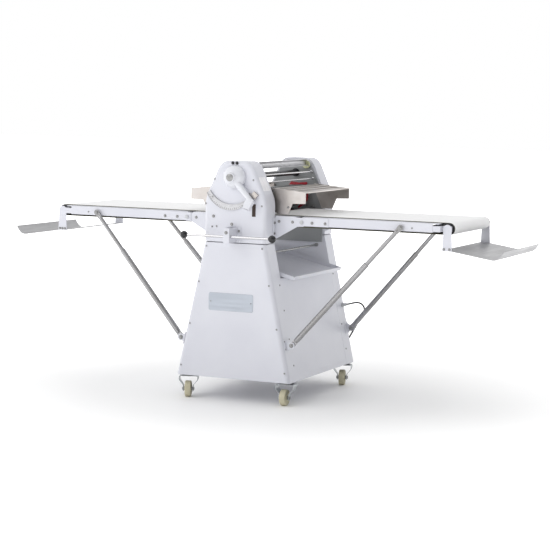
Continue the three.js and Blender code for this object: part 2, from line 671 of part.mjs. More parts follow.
function makeCasterWheel() {
  const w = WHEEL_HALF_WIDTH;
  const profile = [[5.6, -w], [34, -w], [WHEEL_R, 4 - w], [WHEEL_R, w - 4], [34, w], [5.6, w], [5.6, -w]];
  const tread = new THREE.LatheGeometry(profile.map(([r, h]) => new THREE.Vector2(r, h)), 24);
  return tread.translate(-WHEEL_TRAIL, 0, WHEEL_R);
}

for (const [corner, [sx, sy]] of Object.entries(CORNERS)) {
  const turn = rad(CASTER_YAW[corner]);
  const place = (geometry) => geometry.rotateZ(turn).translate(sx * CASTER_X, sy * CASTER_Y, 0);
  add(`caster_fork_${corner}`, place(makeCasterFork()), galvanised);
  add(`caster_wheel_${corner}`, place(makeCasterWheel()), wheelNylon);
}

// ---------------------------------------------------------------- drive
function makeMotor() {
  return join(
    barY(MOTOR_X, MOTOR_Z, 68, -120, 120, 20),
    block(MOTOR_X - 75, MOTOR_X + 75, -90, 90, 113.4, 135),
    block(MOTOR_X - 45, MOTOR_X + 45, -60, 60, 240, 285),
  );
}

function makeMotorSprocket() {
  return join(
    barY(MOTOR_X, MOTOR_Z, 12, 120.4, 356, 12),
    barY(MOTOR_X, MOTOR_Z, MOTOR_SPROCKET_R, ...CHAIN_Y, 16),
  );
}

// A closed loop round two circles, as a ring between two radius offsets.
function loopShape(offset) {
  const [x1, z1, r1] = [MOTOR_X, MOTOR_Z, MOTOR_SPROCKET_R + offset];
  const [x2, z2, r2] = [0, LOWER_ROLLER_Z, ROLLER_SPROCKET_R + offset];
  const distance = Math.hypot(x2 - x1, z2 - z1);
  const heading = Math.atan2(z2 - z1, x2 - x1);
  const spread = Math.acos((r1 - r2) / distance);
  const deg = THREE.MathUtils.radToDeg;
  return [
    ...arcPoints(x2, z2, r2, deg(heading - spread), deg(heading + spread), 14),
    ...arcPoints(x1, z1, r1, deg(heading + spread), deg(heading - spread) + 360, 10),
  ];
}

function makeChain() {
  const ring = polygon(loopShape(6.5));
  return cut(plateXZ(ring, CHAIN_Y[0] + 0.5, CHAIN_Y[1] - 0.5), plateXZ(polygon(loopShape(0.6)), 340, 360));
}

add('drive_motor', makeMotor(), motorGrey);
add('motor_sprocket', makeMotorSprocket(), darkSteel);
add('drive_chain', makeChain(), darkSteel);

// ---------------------------------------------------------------- mains cable
const GLAND_FOOT = new THREE.Vector3(baseHalf(388), 365, 388);
const faceNormal = new THREE.Vector3(1, 0, sideSlope).normalize();

function makeGland() {
  const profile = [[0, 0.3], [11, 0.3], [11, 9], [8.5, 10], [8.5, 18], [6.5, 27], [0, 27]];
  const gland = new THREE.LatheGeometry(profile.map(([r, h]) => new THREE.Vector2(r, h)), 12);
  gland.applyQuaternion(new THREE.Quaternion().setFromUnitVectors(new THREE.Vector3(0, 1, 0), faceNormal));
  return gland.translate(GLAND_FOOT.x, GLAND_FOOT.y, GLAND_FOOT.z);
}

// Out of the gland, round behind the stay and the rear cabinet, and down to the floor.
const CABLE_ROUTE = [
  [268, 365, 396.5],
  [283, 367, 400.5],
  [300, 376, 404],
  [316, 386, 401],
  [328, 395, 390],
  [333, 403, 372],
  [326, 411, 348],
  [308, 420, 324],
  [285, 428, 289],
  [263, 434, 253],
  [241, 438, 218],
  [217, 442, 184],
  [191, 446, 152],
  [163, 450, 123],
  [133, 454, 97],
  [101, 458, 74],
  [67, 462, 53],
  [32, 466, 34],
  [-3, 470, 18],
  [-35, 473, 7.5],
  [-62, 474.7, 4.2],
];
const CABLE_END = [-88.8, COIL_CENTRE[1] - COIL_TURN_R, 4.2];

function makeCable() {
  const exit = GLAND_FOOT.clone().addScaledVector(faceNormal, 27.4);
  const points = [exit, ...CABLE_ROUTE.map((p) => new THREE.Vector3(...p)), new THREE.Vector3(...CABLE_END)];
  const path = new THREE.CatmullRomCurve3(points, false, 'centripetal');
  const section = polygon(arcPoints(0, 0, CABLE_R, 0, 315, 7));
  return new THREE.ExtrudeGeometry(section, { steps: 46, extrudePath: path, bevelEnabled: false });
}

function makeCoil() {
  const [inner, outer] = COIL_R;
  const profile = [[inner, 0.2], [outer, 0.2], [outer, COIL_HEIGHT], [inner, COIL_HEIGHT], [inner, 0.2]];
  const ring = new THREE.LatheGeometry(profile.map(([r, h]) => new THREE.Vector2(r, h)), 24);
  return ring.rotateX(Math.PI / 2).translate(...COIL_CENTRE, 0);
}

function makePlug() {
  const y = COIL_CENTRE[1] + COIL_TURN_R;
  const z = 12.3;
  const x = COIL_CENTRE[0] + 34;
  return join(
    barX(y, z, 5.5, x, x + 26, 12),
    block(x + 24, x + 60, y - 18, y + 18, z - 11.5, z + 11.5),
    barX(y - 9.5, z, 2.4, x + 58, x + 79, 8),
    barX(y + 9.5, z, 2.4, x + 58, x + 79, 8),
  );
}

add('cable_gland', makeGland(), blackPlastic);
add('power_cable', makeCable(), blackPlastic);
add('cable_coil', makeCoil(), blackPlastic);
add('power_plug', makePlug(), blackPlastic);

export default machine;
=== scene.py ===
# Visual model of a dough sheeter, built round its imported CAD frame.
# Shapes are drawn in millimetres in machine coordinates, with y = 0 at mid-depth.
# TO_FRAME then moves them to the frame, in metres.
import json
import math

import bmesh
import bpy
from mathutils import Matrix, Vector

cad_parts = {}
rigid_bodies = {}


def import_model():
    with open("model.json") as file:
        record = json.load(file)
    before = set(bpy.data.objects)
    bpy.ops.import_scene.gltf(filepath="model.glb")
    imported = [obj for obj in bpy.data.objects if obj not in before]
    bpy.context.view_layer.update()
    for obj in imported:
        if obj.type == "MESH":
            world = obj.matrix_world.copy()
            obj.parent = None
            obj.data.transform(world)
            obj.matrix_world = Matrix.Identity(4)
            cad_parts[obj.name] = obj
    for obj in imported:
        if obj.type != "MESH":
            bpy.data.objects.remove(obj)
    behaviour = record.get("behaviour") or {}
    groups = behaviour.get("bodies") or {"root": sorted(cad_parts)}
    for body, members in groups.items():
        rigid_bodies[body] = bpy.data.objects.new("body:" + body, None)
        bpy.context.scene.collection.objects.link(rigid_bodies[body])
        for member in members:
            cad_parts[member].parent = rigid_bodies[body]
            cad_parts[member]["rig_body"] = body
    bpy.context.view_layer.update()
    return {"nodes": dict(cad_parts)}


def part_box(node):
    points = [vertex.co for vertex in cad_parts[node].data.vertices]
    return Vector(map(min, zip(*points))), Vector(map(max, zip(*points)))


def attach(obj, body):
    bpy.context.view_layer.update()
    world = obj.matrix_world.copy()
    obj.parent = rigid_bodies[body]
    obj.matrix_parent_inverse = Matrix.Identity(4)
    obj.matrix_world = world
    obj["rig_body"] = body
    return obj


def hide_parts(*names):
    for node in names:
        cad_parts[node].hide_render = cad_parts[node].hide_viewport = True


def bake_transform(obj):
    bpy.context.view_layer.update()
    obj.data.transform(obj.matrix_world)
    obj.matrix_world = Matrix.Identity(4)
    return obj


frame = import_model()

MM = 0.001
X, Y, Z = 0, 1, 2
LOW, HIGH = 0, 1
DEPTH_SHIFT = (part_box("front_cabinet")[LOW][Y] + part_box("rear_cabinet")[HIGH][Y]) / 2 / MM
TO_FRAME = Matrix.Scale(MM, 4) @ Matrix.Translation((0, DEPTH_SHIFT, 0))


def edge(node, end, axis):
    """One side of a CAD node's box, in millimetres, in machine coordinates."""
    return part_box(node)[end][axis] / MM - (DEPTH_SHIFT if axis == Y else 0)


# ---- driving dimensions
DEPTH = edge("rear_cabinet", HIGH, Y)
BAY = 300
SHEET = 3
BASE_LOW = edge("rear_cabinet", LOW, Z)
SEAM = 733.6
BASE_WIDE = 288.5
BASE_NARROW = 154.4
BASE_CORNER_R = 22
TRAY_CORNER = (241, 566)
TRAY_SLOPE = 13.2

HEAD_LOW = edge("rear_head_housing", LOW, Z)
HEAD_TOP = 1108
HEAD_HALF = edge("rear_head_housing", HIGH, X)
HEAD_EDGE_R = 18
BUTTON_X = (-13, 7.5)
BUTTON_Z = 1100

SHAFT_Z = 1036
ROLLER_R = 44
LOWER_Z = 822
UPPER_Z = 914
CONVEYOR_Z = 837
HINGE_X = 291.5
END_X = 979
DRIVE_X = 80
BELT_R = 25.3
BELT_THICK = 2
BELT_HALF = 255
RAIL_FACE = 305.6

STAY_FOOT = Vector((281, 365.1, 278.3))
STAY_TOP = Vector((770.6, 316.7, 836.2))
STAY_STEP = 517

CASTER = (250, 345)
CASTER_YAW = {"front_right": 92, "front_left": 110, "rear_right": 105, "rear_left": 98}
WHEEL_R = 37.5
TRAIL = 25

MOTOR = (40, 190)
CHAIN_Y = 350
SPROCKET_R = {"motor": 30, "roller": 60}

CABLE_R = 4
COIL = (-120, 530)
COIL_TURN_R = 55.3
COIL_PITCH = 8.1

CORNERS = {"front_right": (1, -1), "front_left": (-1, -1), "rear_right": (1, 1), "rear_left": (-1, 1)}
ENDS = {"right": 1, "left": -1}


def base_half(z):
    return BASE_WIDE - (z - BASE_LOW) * (BASE_WIDE - BASE_NARROW) / (SEAM - BASE_LOW)


def place(x, y, z):
    return TO_FRAME @ Vector((x, y, z))


def tilted(x, y, z, degrees):
    """Turns about Y what is drawn at the origin, then puts it in place."""
    return Matrix.Translation((x, y, z)) @ Matrix.Rotation(math.radians(degrees), 4, "Y")


# ---- camera
def make_camera():
    azimuth, elevation, roll = math.radians(23.95), math.radians(5.75), 0.01966
    back = Vector((math.sin(azimuth) * math.cos(elevation), -math.cos(azimuth) * math.cos(elevation),
                   math.sin(elevation)))
    level = Vector((math.cos(azimuth), math.sin(azimuth), 0))
    above = back.cross(level)
    right = level * math.cos(roll) + above * math.sin(roll)
    up = above * math.cos(roll) - level * math.sin(roll)
    data = bpy.data.cameras.new("camera")
    data.sensor_width, data.lens, data.clip_end = 36, 116.95, 60
    camera = bpy.data.objects.new("camera", data)
    turn = Matrix((right, up, back)).transposed().to_4x4()
    camera.matrix_world = Matrix.Translation(place(3474.6, -7761.0, 1410.6)) @ turn
    bpy.context.scene.collection.objects.link(camera)
    bpy.context.scene.camera = camera


make_camera()


# ---- materials
NEUTRAL = (1, 1, 1)


def set_inputs(node, values):
    """Sets a node's sockets, by name or by number, to fixed values."""
    for socket, value in values.items():
        node.inputs[socket].default_value = value


class Nodes:
    """A small helper that wires one Principled material."""

    def __init__(self, name, color, roughness, metallic):
        self.material = bpy.data.materials.new(name)
        self.material.use_nodes = True
        self.tree = self.material.node_tree
        self.shader = self.tree.nodes["Principled BSDF"]
        set_inputs(self.shader, {"Base Color": (*color, 1), "Roughness": roughness, "Metallic": metallic})
        self.color, self.roughness = color, roughness
        self.height = None

    def new(self, kind, **settings):
        node = self.tree.nodes.new(kind)
        for key, value in settings.items():
            setattr(node, key, value)
        return node

    def link(self, a, b):
        self.tree.links.new(a, b)

    def noise(self, scale, detail=4.0, stretch=NEUTRAL):
        where = self.new("ShaderNodeTexCoord")
        mapping = self.new("ShaderNodeMapping")
        set_inputs(mapping, {"Scale": stretch})
        self.link(where.outputs["Object"], mapping.inputs["Vector"])
        texture = self.new("ShaderNodeTexNoise")
        set_inputs(texture, {"Scale": scale, "Detail": detail})
        self.link(mapping.outputs["Vector"], texture.inputs["Vector"])
        return texture.outputs["Fac"]

    def ramp(self, value, low, high, from_low=0.35, from_high=0.65):
        mapped = self.new("ShaderNodeMapRange")
        set_inputs(mapped, {"From Min": from_low, "From Max": from_high, "To Min": low, "To Max": high})
        self.link(value, mapped.inputs["Value"])
        return mapped.outputs["Result"]

    def mottle(self, value, amount, tint=NEUTRAL):
        """Colour drifts between the base colour and a darker, tinted one."""
        mix = self.new("ShaderNodeMix", data_type="RGBA")
        darker = [c * (1 - amount) * t for c, t in zip(self.color, tint)]
        set_inputs(mix, {6: (*self.color, 1), 7: (*darker, 1)})
        self.link(self.ramp(value, 0, 1), mix.inputs[0])
        self.link(mix.outputs[2], self.shader.inputs["Base Color"])

    def rough(self, value, spread):
        low, high = self.roughness - spread, self.roughness + spread
        self.link(self.ramp(value, low, high), self.shader.inputs["Roughness"])

    def bump(self, value, millimetres, strength=1.0):
        bump = self.new("ShaderNodeBump")
        set_inputs(bump, {"Distance": millimetres * MM, "Strength": strength})
        self.link(value, bump.inputs["Height"])
        if self.height:
            self.link(self.height, bump.inputs["Normal"])
        self.height = bump.outputs["Normal"]
        self.link(self.height, self.shader.inputs["Normal"])


def powder_coat(name, color, roughness=0.36):
    """Sprayed coating: fine orange peel, faint handling marks, thin clear gloss."""
    n = Nodes(name, color, roughness, 0.0)
    set_inputs(n.shader, {"Coat Weight": 0.18, "Coat Roughness": 0.25})
    n.mottle(n.noise(5.0, 5.0), 0.035, (0.99, 0.99, 1.0))
    n.rough(n.noise(14.0, 6.0), 0.05)
    n.bump(n.noise(900.0, 2.0), 0.05, 0.25)
    return n.material


def brushed(name, color, roughness, stretch, scale=60.0, amount=0.12, tint=(1, 0.98, 0.95)):
    """Brushed sheet or tube: grain that is drawn out along the rolling direction."""
    n = Nodes(name, color, roughness, 1.0)
    grain = n.noise(scale, 6.0, stretch)
    n.mottle(n.noise(7.0, 4.0), amount, tint)
    n.rough(grain, 0.08)
    n.bump(grain, 0.04, 0.35)
    return n.material


def plated(name, color, roughness, cells=260.0, amount=0.22):
    """Zinc plating with a faint spangle."""
    n = Nodes(name, color, roughness, 1.0)
    where = n.new("ShaderNodeTexCoord")
    cell = n.new("ShaderNodeTexVoronoi")
    set_inputs(cell, {"Scale": cells})
    n.link(where.outputs["Object"], cell.inputs["Vector"])
    n.mottle(cell.outputs["Distance"], amount)
    n.rough(n.noise(90.0), 0.07)
    n.bump(n.noise(500.0), 0.03, 0.3)
    return n.material


def moulded(name, color, roughness, metallic=0.0, grain=700.0, amount=0.12):
    """Moulded plastic, rubber or hammer paint: a fine texture and uneven sheen."""
    n = Nodes(name, color, roughness, metallic)
    n.mottle(n.noise(40.0, 5.0), amount)
    n.rough(n.noise(60.0), 0.06)
    n.bump(n.noise(grain, 3.0), 0.08, 0.3)
    return n.material


def belting(name, color, weave=1100.0):
    """Coated conveyor belting: woven ribs under a matt coat, dusted with flour."""
    n = Nodes(name, color, 0.72, 0.0)
    set_inputs(n.shader, {"Sheen Weight": 0.15})
    where = n.new("ShaderNodeTexCoord")
    for direction in ("X", "Y"):
        wave = n.new("ShaderNodeTexWave", wave_type="BANDS", bands_direction=direction)
        set_inputs(wave, {"Scale": weave, "Distortion": 0.6})
        n.link(where.outputs["Object"], wave.inputs["Vector"])
        n.bump(wave.outputs["Fac"], 0.05, 0.18)
    n.mottle(n.noise(3.0, 6.0), 0.03)
    n.rough(n.noise(25.0), 0.08)
    return n.material


ALONG_X = (0.06, 1, 1)
ALONG_Y = (1, 0.06, 1)
RECIPES = {
    "white_paint": (powder_coat, (0.672, 0.680, 0.735)),
    "white_enamel": (powder_coat, (0.72, 0.73, 0.775), 0.24),
    "stainless": (brushed, (0.57, 0.54, 0.525), 0.36, ALONG_Y),
    "bright_steel": (brushed, (0.50, 0.50, 0.515), 0.34, ALONG_Y, 80.0, 0.08, NEUTRAL),
    "stay_steel": (brushed, (0.36, 0.36, 0.37), 0.24, NEUTRAL, 160.0),
    "chrome": (brushed, (0.60, 0.60, 0.62), 0.12, ALONG_Y, 30.0, 0.05),
    "grey_plate": (powder_coat, (0.27, 0.28, 0.285), 0.46),
    "dark_steel": (brushed, (0.035, 0.035, 0.04), 0.30, ALONG_Y, 80.0),
    "belt": (belting, (0.93, 0.93, 0.935)),
    # Dark olive for the belt's back and edges: painted shade for the underside in shadow.
    "belt_back": (belting, (0.115, 0.105, 0.045)),
    "aluminium": (brushed, (0.45, 0.45, 0.46), 0.42, ALONG_Y, 90.0, 0.06, NEUTRAL),
    "black_plastic": (moulded, (0.012, 0.012, 0.015), 0.22),
    "red_paint": (moulded, (0.42, 0.018, 0.03), 0.34),
    "galvanised": (plated, (0.52, 0.545, 0.56), 0.40),
    "wheel_nylon": (moulded, (0.60, 0.56, 0.40), 0.48),
    "trough_nylon": (moulded, (0.62, 0.63, 0.38), 0.45),
    "motor_grey": (moulded, (0.14, 0.17, 0.19), 0.42, 0.3, 220.0),
    "grey_nylon": (moulded, (0.56, 0.57, 0.59), 0.42),
    "cable_rubber": (moulded, (0.014, 0.014, 0.016), 0.58),
    # Dark brown: painted shade for the handle's slot opening, and the ink of the scale's ticks.
    "slot_dark": (moulded, (0.045, 0.028, 0.022), 0.7),
    "zinc": (plated, (0.33, 0.33, 0.33), 0.30, 500.0, 0.15),
    "plain_plate": (brushed, (0.42, 0.45, 0.50), 0.40, ALONG_X, 90.0, 0.05, NEUTRAL),
    "plain_label": (moulded, (0.90, 0.89, 0.92), 0.5),
}
LOOKS = {name: maker(name, *values) for name, (maker, *values) in RECIPES.items()}


# ---- mesh building
def arc(cx, cz, r, start, end, steps):
    angles = [math.radians(start + (end - start) * i / steps) for i in range(steps + 1)]
    return [(cx + r * math.cos(a), cz + r * math.sin(a)) for a in angles]


def quadratic(a, b, c, steps):
    ts = [i / steps for i in range(1, steps + 1)]
    return [tuple((1 - t) ** 2 * p + 2 * t * (1 - t) * q + t * t * s for p, q, s in zip(a, b, c)) for t in ts]


def soften(mesh, angle=38):
    mesh.polygons.foreach_set("use_smooth", [True] * len(mesh.polygons))
    mesh.set_sharp_from_angle(angle=math.radians(angle))


def bevel_edges(bm, width, limit=30, segments=2):
    sharp = [e for e in bm.edges if len(e.link_faces) == 2 and e.calc_face_angle(0) > math.radians(limit)]
    bmesh.ops.bevel(bm, geom=sharp, offset=width, offset_type="OFFSET", segments=segments, profile=0.6,
                    affect="EDGES", clamp_overlap=True)


def publish(bm, name, body, look, replaces, weighted=True):
    mesh = bpy.data.meshes.new(name)
    bm.to_mesh(mesh)
    bm.free()
    soften(mesh)
    mesh.materials.append(LOOKS[look])
    piece = bpy.data.objects.new(name, mesh)
    bpy.context.scene.collection.objects.link(piece)
    if weighted:
        piece.modifiers.new("even_normals", "WEIGHTED_NORMAL").keep_sharp = True
    if body:
        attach(piece, body)
    if replaces:
        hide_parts(*replaces)
    return piece


class Part:
    """Closed solids, in millimetres, that are published together as one piece."""

    def __init__(self):
        self.bm = bmesh.new()

    def loft(self, rings, cyclic=False):
        rows = [[self.bm.verts.new(p) for p in ring] for ring in rings]
        steps = list(zip(rows, rows[1:])) + ([(rows[-1], rows[0])] if cyclic else [])
        for a, b in steps:
            for i in range(len(a)):
                j = (i + 1) % len(a)
                self.bm.faces.new((a[i], a[j], b[j], b[i]))
        if not cyclic:
            self.bm.faces.new(rows[0])
            self.bm.faces.new(rows[-1])
        return self

    def plate(self, outline, y0, y1):
        return self.loft([[(x, y, z) for x, z in outline] for y in (y0, y1)])

    def block(self, x0, x1, y0, y1, z0, z1):
        return self.plate([(x0, z0), (x1, z0), (x1, z1), (x0, z1)], y0, y1)

    def turned(self, profile, origin, axis, sides=48, ring=False):
        """Turns a profile of (radius, height) about an axis; ring closes the profile on itself."""
        turn = Vector((0, 0, 1)).rotation_difference(Vector(axis)).to_matrix()
        rows = []
        for r, h in profile:
            angles = [math.tau * i / sides for i in range(sides if r > 0 else 1)]
            spots = [(r * math.cos(a), r * math.sin(a), h) for a in angles]
            rows.append([self.bm.verts.new(Vector(origin) + turn @ Vector(s)) for s in spots])
        if ring:
            rows.append(rows[0])
        for a, b in zip(rows, rows[1:]):
            for i in range(sides):
                j = (i + 1) % sides
                corners = [a[i % len(a)], a[j % len(a)], b[j % len(b)], b[i % len(b)]]
                self.bm.faces.new(list(dict.fromkeys(corners)))
        return self

    def rod(self, start, end, r, chamfer=0.8, sides=40):
        start, end = Vector(start), Vector(end)
        length = (end - start).length
        c = min(chamfer, r / 3, length / 3)
        profile = [(0, 0), (r - c, 0), (r, c), (r, length - c), (r - c, length), (0, length)]
        return self.turned(profile, start, end - start, sides)

    def bar_y(self, x, z, r, y0, y1, chamfer=0.8, sides=40):
        return self.rod((x, y0, z), (x, y1, z), r, chamfer, sides)

    def hexagon(self, origin, axis, r, height):
        c = height * 0.18
        profile = [(0, 0), (r, 0), (r, height - c), (r - c * 1.6, height), (0, height)]
        return self.turned(profile, origin, axis, 6)

    def bolt(self, origin, axis, r=7, height=5):
        """Hexagon head on a washer, with the thread's end showing."""
        way = Vector(axis).normalized()
        at = Vector(origin)
        self.turned([(0, 0), (r * 1.25, 0), (r * 1.25, 1.2), (r * 1.15, 1.5), (0, 1.5)], at, way, 32)
        self.hexagon(at + way * 1.4, way, r, height)
        return self.rod(at + way * (height + 1), at + way * (height + 3), r * 0.5, 0.6, 20)

    def screw(self, origin, axis, r=4.5):
        """Pan head with a round recess."""
        h = r * 0.55
        recess = [(0, h * 0.35), (r * 0.38, h * 0.35)]
        head = [(r * 0.42, h), (r * 0.8, h * 0.85), (r, h * 0.3), (r, -0.4), (0, -0.4)]
        return self.turned(recess + head, origin, axis, 24)

    def strip(self, line, thickness, y0, y1):
        """A bent sheet that follows a line in XZ, thickened to its left."""
        points = [Vector(p) for p in line]
        offset = []
        for i, point in enumerate(points):
            along = (points[min(i + 1, len(points) - 1)] - points[max(i - 1, 0)]).normalized()
            offset.append(point + Vector((-along.y, along.x)) * thickness)
        return self.plate([tuple(p) for p in points + offset[::-1]], y0, y1)

    def mirror_x(self, flip):
        if flip:
            self.bm.transform(Matrix.Scale(-1, 4, (1, 0, 0)))
        return self

    def move(self, matrix):
        self.bm.transform(matrix)
        return self

    def done(self, name, body, look, replaces=(), bevel=0.0, weighted=True):
        bmesh.ops.recalc_face_normals(self.bm, faces=self.bm.faces)
        if bevel:
            bevel_edges(self.bm, bevel)
            bmesh.ops.recalc_face_normals(self.bm, faces=self.bm.faces)
        self.bm.transform(TO_FRAME)
        return publish(self.bm, name, body, look, replaces, weighted)

    def stands_for(self, node, suffix, look, bevel=0.0):
        """Publishes the solids for a CAD node that moves as a body of its own."""
        return self.done(f"{node}_{suffix}", node, look, (node,), bevel)


def side_span(side, inner, outer):
    return (inner, outer) if side > 0 else (-outer, -inner)


def refined(node, look, bevel=0.6):
    """The CAD node's own shape with rounded edges, standing for it."""
    bm = bmesh.new()
    bm.from_mesh(frame["nodes"][node].data)
    bmesh.ops.remove_doubles(bm, verts=bm.verts, dist=1e-6)
    bmesh.ops.dissolve_limit(bm, angle_limit=math.radians(0.5), verts=bm.verts, edges=bm.edges)
    bevel_edges(bm, bevel * MM)
    body = frame["nodes"][node]["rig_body"]
    return publish(bm, f"{node}_finished", body, look, (node,))


# ---- mains cable
# The stretch that isn't coiled repeats the CAD route, from the gland round the rear cabinet to the coil.
GLAND_FOOT = Vector((base_half(388), 365, 388))
SIDE_NORMAL = Vector((1, 0, (BASE_WIDE - BASE_NARROW) / (SEAM - BASE_LOW))).normalized()
CABLE_EXIT = GLAND_FOOT + SIDE_NORMAL * 27.4
CABLE_ROUTE = [
    (268, 365, 396.5), (283, 367, 400.5), (300, 376, 404), (316, 386, 401), (328, 395, 390),
    (333, 403, 372), (326, 411, 348), (308, 420, 324), (285, 428, 289), (263, 434, 253),
    (241, 438, 218), (217, 442, 184), (191, 446, 152), (163, 450, 123), (133, 454, 97),
    (101, 458, 74), (67, 462, 53), (32, 466, 34), (-3, 470, 18), (-35, 473, 7.5),
    (-62, 474.7, 4.2), (-88.8, 474.7, 4.2),
]
TURN_IN = 990
TURN_STEP = 18


def coil_points():
    """Clockwise turns: a flat spiral inwards, a short rise, then outwards on top of it."""
    points = []
    for t in range(0, 2 * TURN_IN + 1, TURN_STEP):
        inward = t if t < TURN_IN else 2 * TURN_IN - t
        r = COIL_TURN_R - COIL_PITCH * inward / 360
        rise = min(max((t - TURN_IN + 45) / 90, 0), 1)
        height = CABLE_R + 0.2 + COIL_PITCH * rise * rise * (3 - 2 * rise)
        angle = math.radians(-90 - t)
        points.append((COIL[0] + r * math.cos(angle), COIL[1] + r * math.sin(angle), height))
    return points


def make_plug():
    y, z = COIL[1] + COIL_TURN_R, 12.3
    x = COIL[0] + 34
    part = Part()
    boot = [(0, 0), (CABLE_R + 0.6, 0), (CABLE_R + 1.2, 2)]
    for k in range(5):
        boot += [(5.4, 4 + 5 * k), (5.4, 6 + 5 * k), (4.7, 6.6 + 5 * k), (4.7, 8.2 + 5 * k)]
    part.turned(boot + [(5.5, 27), (0, 27)], (x, y, z), (1, 0, 0), 32)
    rings = []
    for step, width, height in ((24, 8, 7), (29, 13, 10), (38, 17, 11.3), (54, 17.6, 11.5), (60, 17, 11.2)):
        ring = []
        for i in range(32):
            a = math.tau * i / 32
            squared = [math.copysign(abs(v) ** 0.5, v) for v in (math.cos(a), math.sin(a))]
            ring.append((x + step, y + width * squared[0], z + height * squared[1]))
        rings.append(ring)
    part.loft(rings)
    body = part.done("plug_body", "root", "black_plastic", ("power_plug",), 0.0)
    pins = Part()
    for dy in (-9.5, 9.5):
        pins.rod((x + 59, y + dy, z), (x + 78.5, y + dy, z), 2.3, 1.0, 24)
    pins.done("plug_pins", "root", "zinc")
    return body


def make_cable():
    points = [CABLE_EXIT] + [Vector(p) for p in CABLE_ROUTE] + [Vector(p) for p in coil_points()]
    points.append(Vector((COIL[0] + 34.4, COIL[1] + COIL_TURN_R, 12.3)))
    data = bpy.data.curves.new("mains_cable", "CURVE")
    data.dimensions = "3D"
    data.bevel_depth = CABLE_R * MM
    data.bevel_resolution = 5
    data.resolution_u = 6
    data.use_fill_caps = True
    spline = data.splines.new("BEZIER")
    spline.bezier_points.add(len(points) - 1)
    for knot, point in zip(spline.bezier_points, points):
        knot.co = place(*point)
        knot.handle_left_type = knot.handle_right_type = "AUTO"
    data.materials.append(LOOKS["cable_rubber"])
    cable = bpy.data.objects.new("mains_cable", data)
    bpy.context.scene.collection.objects.link(cable)
    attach(cable, "root")
    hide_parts("power_cable", "cable_coil")
    length = sum((a - b).length for a, b in zip(points, points[1:])) * MM
    return cable, length


def make_gland():
    part = Part()
    profile = [(0, 0.3), (12, 0.3), (12, 2), (11, 2.6), (11, 8), (10, 9), (8.5, 9.4)]
    for k in range(4):
        r, h = 8.6 - 0.5 * k, 10 + 4 * k
        profile += [(r, h), (r, h + 2.2), (r - 0.7, h + 2.8)]
    part.turned(profile + [(5.6, 26.6), (0, 27)], GLAND_FOOT, SIDE_NORMAL, 36)
    return part.done("gland_body", "root", "grey_nylon", ("cable_gland",))


def make_tie():
    """A hook-and-loop tie that holds the coil's turns together."""
    angle = math.radians(140)
    middle_r = COIL_TURN_R - COIL_PITCH * TURN_IN / 360 / 2
    across = Vector((math.cos(angle), math.sin(angle), 0))
    centre = Vector((*COIL, 0)) + across * middle_r
    outline = [(-17, 0.3), (17, 0.3), (17.5, 16.4), (-17.5, 16.4)]
    inner = [(-15.8, 1.0), (15.8, 1.0), (16.2, 15.8), (-16.2, 15.8)]
    part = Part()
    along = Vector((-across.y, across.x, 0))
    rings = []
    for shape, offset in ((outline, -6), (outline, 6), (inner, 6), (inner, -6)):
        rings.append([centre + across * u + along * offset + Vector((0, 0, v)) for u, v in shape])
    part.loft(rings, cyclic=True)
    return part.done("cable_tie", "root", "black_plastic", (), 0.0, False)


plug = make_plug()
cable, cable_length = make_cable()
gland = make_gland()
tie = make_tie()


# ---- floor, light
def make_stage():
    size, far, near = 40.0, 4.6, 0.8
    mesh = bpy.data.meshes.new("floor")
    corners = [(-size, -size, 0), (size, -size, 0), (size, size, 0), (-size, size, 0)]
    mesh.from_pydata(corners, [], [(0, 1, 2, 3)])
    n = Nodes("floor", (1.0, 1.0, 1.0), 0.6, 0.0)
    where = n.new("ShaderNodeTexCoord")
    length = n.new("ShaderNodeVectorMath", operation="LENGTH")
    n.link(where.outputs["Object"], length.inputs[0])
    # The floor glows more with distance from the machine: painted light that whitens the far floor and leaves
    # it darker near the machine.
    glow = n.ramp(length.outputs["Value"], 0, 1, near, far)
    set_inputs(n.shader, {"Emission Color": (1, 1, 1, 1)})
    n.link(glow, n.shader.inputs["Emission Strength"])
    mesh.materials.append(n.material)
    floor = bpy.data.objects.new("floor", mesh)
    bpy.context.scene.collection.objects.link(floor)


def make_light(name, where, target, size, power, color=(1, 1, 1)):
    data = bpy.data.lights.new(name, "AREA")
    data.shape, data.size, data.energy, data.color = "SQUARE", size, power, color
    light = bpy.data.objects.new(name, data)
    light.location = where
    light.rotation_euler = (Vector(target) - Vector(where)).to_track_quat("-Z", "Y").to_euler()
    bpy.context.scene.collection.objects.link(light)


def make_lighting():
    """A white surround that is dimmer to the machine's right, a key light and a top light."""
    world = bpy.data.worlds.new("studio")
    world.use_nodes = True
    tree = world.node_tree
    background = tree.nodes["Background"]
    set_inputs(background, {"Strength": 1.0})
    where = tree.nodes.new("ShaderNodeTexCoord")
    toward_right = tree.nodes.new("ShaderNodeVectorMath")
    toward_right.operation = "DOT_PRODUCT"
    set_inputs(toward_right, {1: (0.94, -0.30, 0.16)})
    tree.links.new(where.outputs["Generated"], toward_right.inputs[0])
    shade = tree.nodes.new("ShaderNodeMapRange")
    shade.interpolation_type = "SMOOTHSTEP"
    set_inputs(shade, {"From Min": 0.25, "From Max": 0.95, "To Min": 1.0, "To Max": 0.30})
    tree.links.new(toward_right.outputs["Value"], shade.inputs["Value"])
    tree.links.new(shade.outputs["Result"], background.inputs["Color"])
    bpy.context.scene.world = world
    bpy.context.scene.view_settings.view_transform = "Standard"
    middle = (0, 0, 0.75)
    make_light("key", (-2.4, -3.6, 3.4), middle, 2.6, 34)
    make_light("top", (0.4, 0.4, 4.2), middle, 3.0, 10)


make_stage()
make_lighting()


